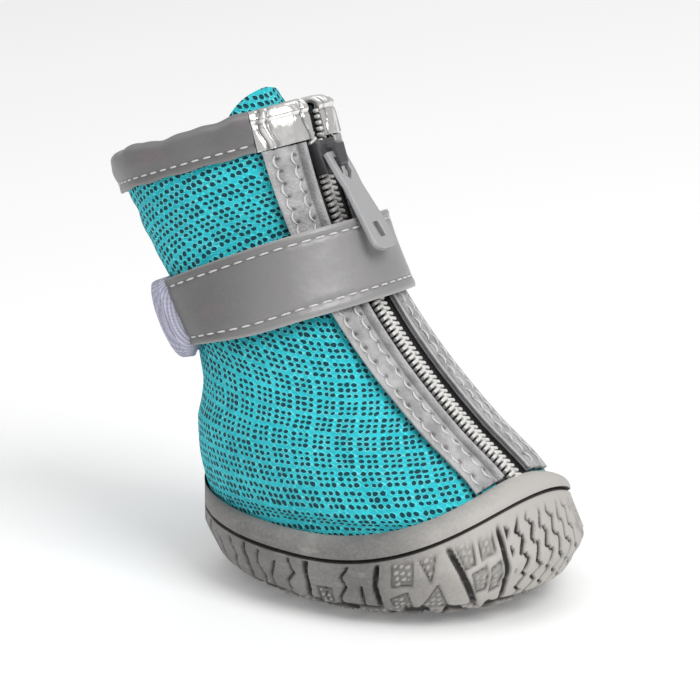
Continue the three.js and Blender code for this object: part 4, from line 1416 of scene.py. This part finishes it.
class Stitches:
    """Thread on the surface, each stitch modelled once and copied along its seam."""

    @staticmethod
    def dash(length: float, radius: float, bow: float = 0.0) -> bpy.types.Object:
        """One stitch lying along +X, round ended, sunk at its ends and bowed sideways.

        Args:
            length: Its length in millimetres.
            radius: Its radius in millimetres.
            bow: How far its middle is pushed towards +Y.

        Returns:
            The stitch.
        """
        Bench.clear()
        bpy.ops.mesh.primitive_cylinder_add(
            vertices=6,
            radius=radius * MM,
            depth=length * MM,
            rotation=(0, math.pi / 2, 0),
            end_fill_type="NGON",
        )
        piece = bpy.context.object
        bpy.ops.object.transform_apply(location=True, rotation=True, scale=True)
        Bench.edit(piece, lambda: bpy.ops.mesh.select_all(action="DESELECT"))
        for edge in piece.data.edges:
            ends = [piece.data.vertices[i].co.x for i in edge.vertices]
            edge.select = abs(ends[0] - ends[1]) > 0.5 * length * MM
        bpy.ops.object.mode_set(mode="EDIT")
        bpy.ops.mesh.select_mode(type="EDGE")
        bpy.ops.mesh.subdivide(number_cuts=3)
        bpy.ops.object.mode_set(mode="OBJECT")
        places = Bench.points(piece) / MM
        share = np.clip(np.abs(places[:, 0]) / (length / 2), 0, 1)
        slim = np.where(share > 0.9, 0.45, 1.0)
        places[:, 1] = places[:, 1] * slim + bow * (1 - share**2)
        places[:, 2] = places[:, 2] * slim * 0.85 - 0.5 * radius * share**3
        Bench.put(piece, places * MM)
        return piece

    @staticmethod
    def sew(name: str, seams: Sequence[tuple], radius: float) -> bpy.types.Object:
        """Sews several seams as one piece.

        Args:
            name: The piece's name.
            seams: For each seam its line, stitch length, pitch and bow.
            radius: The thread's radius.

        Returns:
            The thread.
        """
        rows = [
            Bench.repeat(f"{name}_{i}", Stitches.dash(length, radius, bow), line, line.even(pitch, 0.8))
            for i, (line, length, pitch, bow) in enumerate(seams)
        ]
        return Bench.join(name, rows)


def thread() -> bpy.types.Material:
    """The one thread that all seams share."""
    return bpy.data.materials.get(Thread.name) or Thread().material()


# ---------------------------------------------------------------------------------------------------------
# Zip
# ---------------------------------------------------------------------------------------------------------


@dataclass
class ZipFastener:
    """Tape, coil, slider and pull."""

    tape_half: float = 3.9
    tape_thick: float = 0.8
    open_half: float = 1.1
    slider_down: float = 8.6
    tooth_pitch: float = 0.92
    tooth_long: float = 0.56
    tooth_wide: float = 1.6
    tooth_thick: float = 0.95

    def parting(self, row: Array) -> Array:
        """How far each side stands from the centre line: together below the slider, parted above it."""
        start = float(row_down(np.zeros(1), self.slider_down)[0])
        return self.open_half * ramp(start - 0.1, COLLAR_ROW - 0.3, row)

    def tape(self) -> bpy.types.Object:
        """Models the two tapes."""
        foot = float(Last.row_at_height(np.zeros(1), 15.8)[0])
        strips = []
        for name, side in (("left", 1), ("right", -1)):

            def place(across: Array, up: Array, side: int = side) -> Array:
                """One tape, parted from the other above the slider."""
                row = mix(foot, COLLAR_ROW - 0.02, up)
                inner = 0.12 + self.parting(row)
                far = across if side > 0 else 1 - across
                reach = mix(inner, np.full(row.shape, self.tape_half), far)
                stand = mix(-CLEARANCE, 0.34, ramp(2.7, 3.3, reach))
                return Last.skin(row, Last.angle_at_across(row, side * reach), stand)

            strip = Bench.sheet(f"tape_{name}", 24, 150, place)
            Bench.thicken(strip, self.tape_thick)
            strips.append(strip)
        piece = Bench.join("zip_tape_cloth", strips)
        Bench.soften(piece, 0.12)
        Bench.smooth(piece)
        cloth = WovenCloth("zip_tape_cloth", (0.022, 0.022, 0.024), (0.006, 0.006, 0.007), 0.5)
        return Bench.hand_over(piece, [cloth.material()], Slot.TAPE, stands_for=["zip_tape"])

    def tooth(self, side: int) -> bpy.types.Object:
        """One coil loop, lying across the zip from the middle outwards."""
        Bench.clear()
        bpy.ops.mesh.primitive_cube_add(size=1)
        piece = bpy.context.object
        places = Bench.points(piece) * np.array([self.tooth_long, self.tooth_wide, self.tooth_thick])
        places[:, 1] += self.tooth_wide / 2 - 0.16
        swing = math.radians(13)
        x = places[:, 0] * math.cos(swing) - places[:, 1] * math.sin(swing)
        y = places[:, 0] * math.sin(swing) + places[:, 1] * math.cos(swing)
        far = places[:, 1] > self.tooth_wide / 2
        z = places[:, 2] + 0.5 - 0.14 * far
        Bench.put(piece, np.stack((x, -side * y, z), axis=1) * MM)
        if side > 0:
            Bench.edit(piece, lambda: bpy.ops.mesh.flip_normals())
        Bench.soften(piece, 0.2, 2, 30)
        return piece

    def coil(self) -> bpy.types.Object:
        """Models the coil's loops, side by side in turn up the front."""
        foot = float(Last.row_at_height(np.zeros(1), Outsole().lip_height(np.zeros(1)) - 0.5)[0])
        rows = np.linspace(foot, COLLAR_ROW - 0.05, 400)
        halves = []
        for name, side in (("left", 1), ("right", -1)):
            angle = Last.angle_at_across(rows, side * self.parting(rows))
            line = Line(Last.skin(rows, angle, np.zeros(rows.shape)), Last.normal(rows, angle))
            first = 0.6 + (0.5 * self.tooth_pitch if side > 0 else 0)
            stations = np.arange(first, line.length - 0.4, self.tooth_pitch)
            halves.append(Bench.repeat(f"coil_{name}", self.tooth(side), line, stations))
        piece = Bench.join("zip_coil_loops", halves)
        return Bench.hand_over(piece, [CoilPlastic().material()], Slot.COIL, stands_for=["zip_chain"])

    @staticmethod
    def cast(node: str, name: str, round_: float) -> bpy.types.Object:
        """A copy of a CAD node with its edges rounded as a casting's are."""
        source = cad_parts[node]
        piece = bpy.data.objects.new(name, source.data.copy())
        piece.data.name = name
        bpy.context.scene.collection.objects.link(piece)
        Bench.merge(piece)
        Bench.soften(piece, round_, 3, 30)
        Bench.smooth(piece, 35)
        return piece

    def metalwork(self) -> list[bpy.types.Object]:
        """Models the slider and the pull tab."""
        dark = Plated("gunmetal_plating", (0.13, 0.13, 0.14), (0.05, 0.05, 0.055), 0.85, 0.22)
        light = Plated("pull_plating", (0.5, 0.5, 0.51), (0.36, 0.36, 0.37), 0.9, 0.16)
        slider = self.cast("zip_slider", "zip_slider_cast", 0.28)
        Bench.hand_over(slider, [dark.material()], Slot.GUNMETAL, stands_for=["zip_slider"])
        tab = self.cast("zip_pull", "zip_pull_tab", 0.2)
        Bench.hand_over(tab, [light.material()], Slot.PULL, Body.PULL, ["zip_pull"])
        return [slider, tab]

    def build(self) -> None:
        """Models the whole zip."""
        self.tape()
        self.coil()
        self.metalwork()


@dataclass
class Facings:
    """The two leather strips beside the zip, with rolled edges and scalloped seams."""

    inner: float = 2.9
    outer: float = 8.6
    thick: float = 1.0
    end: float = 5.7
    scallop: float = 2.25
    seams: tuple = (5.1, 7.35)

    def line(self, reach: float) -> Line:
        """A line up the facing at a distance from the centre line."""
        foot = self.foot(np.array([reach]))[0]
        rows = np.linspace(foot, float(row_down(np.zeros(1), self.end)[0]), 300)
        angle = Last.angle_at_across(rows, np.full(rows.shape, reach))
        stand = np.full(rows.shape, CLEARANCE + self.thick + 0.02)
        return Line(Last.skin(rows, angle, stand), Last.normal(rows, angle))

    @staticmethod
    def foot(reach: Array) -> Array:
        """The row at which the facing meets the rand."""
        angle = Last.angle_at_across(np.full(reach.shape, 2.0), reach)
        return Last.row_at_height(angle, Outsole().lip_height(angle) + 0.35)

    def build(self) -> None:
        """Models both facings and their seams."""
        sewn = []
        leather = FacingLeather().material()
        for name, side in (("left", 1), ("right", -1)):
            marks: dict[str, Array] = {}

            def place(across: Array, up: Array, side: int = side, marks: dict = marks) -> Array:
                """One strip with its rolled edges, channel and seams."""
                far = across if side > 0 else 1 - across
                reach = mix(self.inner, self.outer, far)
                top = float(row_down(np.zeros(1), self.end)[0])
                row = mix(self.foot(side * reach), top, up)
                angle = Last.angle_at_across(row, side * reach)
                spot = Last.skin(row, angle, np.full(row.shape, CLEARANCE))
                run = up * 56.0
                roll = 0.3 * hump(reach, 3.2, 0.3)
                channel = 0.42 * hump(reach, 4.0, 0.36)
                dent = np.zeros(row.shape)
                for seam in self.seams:
                    beat = (run / self.scallop) % 1
                    wave = 0.42 * (4 * beat * (1 - beat)) - 0.2
                    near = hump(reach - seam - wave, 0, 0.3)
                    off, past = reach - seam + 0.2, wrapped(run, self.scallop)
                    hole = np.exp(-((off / 0.26) ** 2) - (past / 0.26) ** 2)
                    dent = np.maximum(dent, hole)
                    channel = channel + 0.14 * near + 0.3 * hole
                hem = 0.16 * hump(reach, 8.25, 0.28)
                puff = 0.14 * np.sin(run * 0.45 + side) * hump(reach, 6.2, 0.8)
                # dent paints shade in the needle holes and the channel; edge paints a highlight on the rolled
                # edges.
                marks["dent"] = np.maximum(dent, 0.8 * hump(reach, 4.0, 0.3))
                inner_edge = hump(reach, 3.15, 0.3)
                marks["edge"] = inner_edge + 0.6 * hump(reach, 8.3, 0.35)
                lift = self.thick + roll - channel + hem + puff
                return spot + Last.normal(row, angle) * lift[:, None]

            piece = Bench.sheet(f"zip_facing_{name}_leather", 34, 280, place)
            Bench.make_band(piece, marks, self.thick - 0.1, 0.18)
            Bench.hand_over(piece, [leather], Slot.FACING, stands_for=[f"zip_facing_{name}"])
            for seam in self.seams:
                sewn.append((self.line(side * seam), self.scallop * 0.9, self.scallop, -0.5 * side))
        piece = Stitches.sew("zip_facing_seams", sewn, 0.2)
        Bench.hand_over(piece, [thread()], Slot.FACING)


# ---------------------------------------------------------------------------------------------------------
# Collar
# ---------------------------------------------------------------------------------------------------------


@dataclass
class Fold:
    """A strip folded over the collar's edge: its outer side's section."""

    thick: float
    deep: float = 5.4
    lining: float = 4.0

    def section(self, up: Array) -> tuple[Array, Array]:
        """How far the strip stands off the last and how far down it is, from its outer to its inner hem."""
        outside = CLEARANCE + self.thick
        inside = -WALL - CLEARANCE - self.thick
        turn = np.linspace(0, math.pi, 13)
        stand = np.concatenate(
            ([outside], (outside + inside) / 2 + (outside - inside) / 2 * np.cos(turn), [inside])
        )
        down = np.concatenate(([self.deep], 0.35 - (0.65 + self.thick) * np.sin(turn) ** 0.8, [self.lining]))
        reach = np.concatenate(([0.0], np.cumsum(np.hypot(np.diff(stand), np.diff(down)))))
        return np.interp(up * reach[-1], reach, stand), np.interp(up * reach[-1], reach, down)


@dataclass
class Collar:
    """The reflective binding round the collar and the foil caps at its two ends."""

    cap_inner: float = 1.2
    cap_outer: float = 8.9
    binding_thick: float = 0.8
    cap_thick: float = 1.0
    seam_down: float = 4.0
    pitch: float = 1.95

    def wave(self, angle: Array) -> Array:
        """The soft unevenness of the top edge."""
        return 0.2 * np.sin(5.3 * angle + 1) + 0.15 * np.sin(11 * angle + 0.4) + 0.08 * np.sin(23 * angle)

    def binding(self) -> None:
        """Models the binding and its seam."""
        fold = Fold(self.binding_thick)
        start = float(Last.angle_at_across(np.full(1, COLLAR_ROW), np.full(1, self.cap_outer + 0.04))[0])
        marks: dict[str, Array] = {}

        def place(across: Array, up: Array) -> Array:
            """The folded tape, from its outer hem over the edge to its inner one."""
            angle = mix(start, TURN - start, across)
            stand, down = fold.section(up)
            out = ramp(-1.0, 0.6, stand)
            beat = np.cos(TURN * angle * 15.5 / self.pitch)
            sewn = hump(down, self.seam_down, 0.42) * out
            hem = hump(down, 5.2, 0.3) * out
            lift = 0.14 * np.sin(9 * angle) * out * ramp(0, 2, down)
            lift = lift - sewn * (0.16 + 0.05 * beat) + 0.08 * hem
            lift = lift + 0.22 * hump(down, 2.0, 1.3) * out
            # edge paints a highlight on the hem and over the fold's top; dent paints shade along the seam.
            marks["edge"] = np.clip(0.35 * hem + 0.4 * hump(down, -0.6, 0.4), 0, 1)
            marks["dent"] = 0.35 * hump(down, self.seam_down, 0.22) * out
            pucker = 0.12 * np.sin(17 * angle) * ramp(4.4, 5.4, down)
            down = down + self.wave(angle) * (1 - ramp(0.5, 3.5, down)) + pucker
            return Last.skin(row_down(angle, down), angle, stand + lift)

        piece = Bench.sheet("collar_binding_tape", 300, 46, place)
        Bench.make_band(piece, marks, self.binding_thick - 0.05, 0.2)
        tape = ReflectiveFabric("binding_reflective", (0.128, 0.126, 0.125), (0.33, 0.32, 0.325))
        Bench.hand_over(piece, [tape.material()], Slot.REFLECTIVE, stands_for=["collar_binding"])
        angle = np.linspace(start, TURN - start, 500)
        row = row_down(angle, np.full(angle.shape, self.seam_down))
        stand = CLEARANCE + self.binding_thick + 0.14 * np.sin(9 * angle) - 0.08
        line = Line(Last.skin(row, angle, stand), Last.normal(row, angle))
        seam = Stitches.sew("collar_seam", [(line, 1.3, self.pitch, 0.0)], 0.15)
        Bench.hand_over(seam, [thread()], Slot.REFLECTIVE)

    def caps(self) -> None:
        """Models the two foil caps, creased where the foil is folded round the end."""
        fold = Fold(self.cap_thick)
        foil = SilverFoil().material()
        row = np.full(1, COLLAR_ROW)
        low = float(Last.angle_at_across(row, np.full(1, self.cap_inner))[0])
        high = float(Last.angle_at_across(row, np.full(1, self.cap_outer))[0])
        for name, side in (("left", 1), ("right", -1)):
            marks: dict[str, Array] = {}

            def place(across: Array, up: Array, side: int = side, marks: dict = marks) -> Array:
                """The folded foil, creased near both its ends."""
                far = across if side > 0 else 1 - across
                angle = side * mix(low, high, far)
                reach = mix(self.cap_inner, self.cap_outer, far)
                stand, down = fold.section(up)
                out = ramp(-1.0, 0.6, stand)
                bend = 0.32 * np.sin(down * 0.85 + 0.4) * out
                dent = np.zeros(reach.shape)
                for middle, half, deep in ((7.85, 0.3, 0.9), (6.7, 0.22, 0.6), (2.15, 0.2, 0.8)):
                    dent = np.maximum(dent, deep * hump(reach - middle - bend, 0, half))
                dent = dent * out
                ridge = 0.2 * hump(reach - 7.25 - bend, 0, 0.28) * out
                lip = 0.16 * hump(down, 0.1, 0.35) * out
                under = 0.2 * hump(down, 0.95, 0.28) * out
                # dent paints dark reflections in the creases and shade under the lip.
                marks["dent"] = np.clip(dent + 0.5 * hump(down, 0.95, 0.2) * out, 0, 1)
                crown = 0.2 * np.sin(math.pi * far) * out * ramp(0, 2.5, down)
                lift = crown - 0.32 * dent + ridge + lip - under
                return Last.skin(row_down(angle, down), angle, stand + lift)

            piece = Bench.sheet(f"collar_cap_{name}_foil", 70, 60, place)
            Bench.make_band(piece, marks, self.cap_thick - 0.1, 0.2)
            Bench.hand_over(piece, [foil], Slot.SILVER, stands_for=[f"collar_cap_{name}"])

    def build(self) -> None:
        """Models the collar."""
        self.binding()
        self.caps()


# ---------------------------------------------------------------------------------------------------------
# Strap and elastic
# ---------------------------------------------------------------------------------------------------------


@dataclass
class Strap:
    """The reflective strap round the front."""

    width: float = 13.4
    thick: float = 1.2
    end: float = math.radians(119)
    margin: float = 0.125
    pitch: float = 2.2

    @staticmethod
    def middle(angle: Array) -> Array:
        """The row of the strap's middle line."""
        return mix(5.86, 5.28, (1 - np.cos(angle)) / 2)

    def spot(self, angle: Array, up: Array, extra: Array) -> Array:
        """A point of the strap."""
        turn = np.abs(angle)
        stand = mix(1.65, 0.6, ramp(0.75, 1.4, turn)) + 2.2 * up * (1 - ramp(0.3, 1.5, turn))
        width = self.width * (1 - 0.12 * ramp(1.2, 2.1, turn))
        row = Last.row_below(self.middle(angle), angle, (0.5 - up) * width)
        return Last.skin(row, angle, stand + extra)

    def build(self) -> None:
        """Models the strap and its two seams."""
        marks: dict[str, Array] = {}

        def place(across: Array, up: Array) -> Array:
            """The strap, with its seams pulled in."""
            angle = mix(-self.end, self.end, across)
            beat = np.cos(TURN * angle * 19 / self.pitch)
            seam = np.exp(-(((up - self.margin) * self.width / 0.45) ** 2))
            seam = seam + np.exp(-(((1 - up - self.margin) * self.width / 0.45) ** 2))
            crown = 0.16 * np.sin(math.pi * up) + 0.1 * np.sin(3.1 * angle + 4 * up)
            edge = np.minimum(up, 1 - up) * self.width
            lift = self.thick + crown - seam * (0.17 + 0.05 * beat) - 0.25 * hump(edge, 0, 0.3)
            # dent paints shade along the seams; edge paints a highlight along both edges, and lit adds a
            # painted highlight that rises from the right side forwards, stronger towards the lower edge.
            marks["dent"] = 0.3 * np.clip(seam, 0, 1) ** 3
            lit = 0.125 * ramp(-1.6, 0.2, angle) * (1 - up)
            marks["edge"] = np.clip(0.75 * hump(edge, 0, 0.28) + lit, 0, 1)
            return self.spot(angle, up, lift)

        piece = Bench.sheet("strap_reflective", 300, 44, place)
        Bench.make_band(piece, marks, self.thick - 0.1, 0.25)
        # The last value is the strength of the painted highlight towards the toe.
        tape = ReflectiveFabric("strap_reflective", (0.105, 0.104, 0.103), (0.42, 0.41, 0.41), 0.5)
        Bench.hand_over(piece, [tape.material()], Slot.REFLECTIVE, stands_for=["strap"])
        seams = []
        for up in (self.margin, 1 - self.margin):
            angle = np.linspace(-self.end, self.end, 500)
            share = np.full(angle.shape, up)
            crown = 0.16 * math.sin(math.pi * up) + 0.1 * np.sin(3.1 * angle + 4 * up)
            places = self.spot(angle, share, self.thick + crown - 0.08)
            seams.append((Line(places, Last.normal(self.middle(angle), angle)), 1.5, self.pitch, 0.0))
        piece = Stitches.sew("strap_seams", seams, 0.15)
        Bench.hand_over(piece, [thread()], Slot.REFLECTIVE)


@dataclass
class Elastic:
    """The gathered elastic round the back, tucked under the strap's ends."""

    width: float = 12.2
    thick: float = 1.35
    bulge: float = 3.3
    puff: float = 0.34
    tuck: float = math.radians(4)
    pitch: float = 1.2

    def build(self) -> None:
        """Models the elastic as a soft flat tube with gathers."""
        strap = Strap()
        start = strap.end - self.tuck

        def place(across: Array, up: Array) -> Array:
            """The flat tube, from its tucked end round the back."""
            angle = mix(start, TURN - start, across)
            turn = TURN * up
            outer = np.sin(turn)
            share = 0.5 - 0.5 * np.cos(turn)
            free = ramp(0.0, self.tuck * 1.5, np.minimum(angle - start, TURN - start - angle))
            hug = 1 - 0.55 * hump(across, 0.5, 0.26)
            rise = hug * np.sin(math.pi * across) ** 0.45 * np.sin(math.pi * mix(0.24, 0.76, share))
            puff = self.puff * self.bulge * rise * free
            middle = 0.3 + (0.75 + self.bulge * rise) * free - puff
            half = mix(0.22, self.thick / 2, free) + puff
            run = angle * 19
            phase = TURN * run / self.pitch + 1.4 * np.sin(run * 0.9) + 0.6 * np.sin(share * 5)
            gather = 0.5 + 0.5 * np.sin(phase)
            stand = middle + half * bowed(outer, 3.2) + 0.45 * gather * np.maximum(0, outer) ** 0.4 * free
            lean = 1.6 * free * (1 - share)
            width = self.width * mix(0.8, 1.0, free) + 0.35 * gather
            row = Last.row_below(strap.middle(angle), angle, (0.5 - share) * width + lean)
            return Last.skin(row, angle, stand)

        piece = Bench.sheet("elastic_back_webbing", 300, 44, place)
        Bench.merge(piece)
        Bench.smooth(piece, 80)
        cloth = WovenCloth("elastic_webbing", (0.62, 0.62, 0.76), (0.34, 0.34, 0.45), 0.5, 0.62)
        Bench.hand_over(piece, [cloth.material()], Slot.ELASTIC, stands_for=["elastic_back"])


# ---------------------------------------------------------------------------------------------------------
# Studio
# ---------------------------------------------------------------------------------------------------------


@dataclass
class Studio:
    """Camera, floor and soft light."""

    azimuth: float = math.radians(37)
    elevation: float = math.radians(15)
    distance: float = 0.6
    lens: float = 204.0
    aim: tuple = (-0.0058, -0.0026, 0.0356)
    anchor: tuple = (0.0, 0.0, 0.030)

    def back(self, azimuth: float, elevation: float) -> Vector:
        """The direction from the boot to a viewer."""
        return Vector(
            (
                math.sin(azimuth) * math.cos(elevation),
                -math.cos(azimuth) * math.cos(elevation),
                math.sin(elevation),
            )
        )

    def camera(self) -> None:
        """Sets the camera in front of the boot's right side."""
        lens = bpy.data.cameras.new("view")
        lens.lens = self.lens
        lens.sensor_width = 36
        lens.clip_start, lens.clip_end = 0.01, 50
        camera = bpy.data.objects.new("view", lens)
        bpy.context.scene.collection.objects.link(camera)
        camera.location = Vector(self.anchor) + self.back(self.azimuth, self.elevation) * self.distance
        gaze = Vector(self.aim) - camera.location
        camera.rotation_euler = gaze.to_track_quat("-Z", "Y").to_euler()
        bpy.context.scene.camera = camera

    def lamp(
        self, name: str, azimuth: float, elevation: float, reach: float, size: float, power: float
    ) -> None:
        """Hangs one soft box.

        Args:
            name: Its name.
            azimuth: Its bearing in degrees, as the camera's.
            elevation: Its height in degrees.
            reach: Its distance in metres.
            size: Its side in metres.
            power: Its power in watts.
        """
        light = bpy.data.lights.new(name, "AREA")
        light.shape = "SQUARE"
        light.size = size
        light.energy = power
        box = bpy.data.objects.new(name, light)
        bpy.context.scene.collection.objects.link(box)
        out = self.back(math.radians(azimuth), math.radians(elevation))
        box.location = Vector((0, 0, 0.03)) + out * reach
        box.rotation_euler = (-out).to_track_quat("-Z", "Y").to_euler()

    def floor(self) -> None:
        """Lays the pale floor."""
        Bench.clear()
        bpy.ops.mesh.primitive_grid_add(x_subdivisions=8, y_subdivisions=8, size=8)
        piece = bpy.context.object
        piece.name = "studio_floor"
        graph = Graph("studio_floor")
        cloud = graph.noise(400, 2)
        colour = graph.blend(cloud, (0.9, 0.9, 0.9), (0.92, 0.92, 0.92))
        graph.shader.inputs["Emission Color"].default_value = (1.0, 1.0, 1.0, 1.0)
        piece.data.materials.append(graph.dress(colour, 0.6, graph.bump(cloud, 0.01), Emission_Strength=0.14))

    def build(self) -> None:
        """Sets up camera, floor and lights."""
        self.camera()
        self.floor()
        self.lamp("key", 78, 46, 0.9, 0.5, 4.6)
        self.lamp("fill", -30, 30, 1.0, 0.9, 0.9)
        self.lamp("top", 20, 82, 0.9, 0.8, 2.2)
        self.lamp("rim", 200, 35, 1.0, 0.6, 1.2)
        world = bpy.data.worlds.new("studio")
        world.use_nodes = True
        sky = world.node_tree.nodes["Background"]
        sky.inputs["Color"].default_value = (1.0, 1.0, 1.0, 1.0)
        sky.inputs["Strength"].default_value = 0.42
        bpy.context.scene.world = world
        bpy.context.scene.view_settings.view_transform = "Standard"


def main() -> None:
    """Builds the scene."""
    logging.basicConfig(level=logging.INFO, format="%(message)s")
    Studio().build()
    soft = (Upper(), Gusset(), ZipFastener(), Facings(), Collar(), Strap(), Elastic())
    for part in (Outsole(), Insole(), *soft):
        LOG.info("building %s", type(part).__name__)
        part.build()


if __name__ == "__main__":
    main()
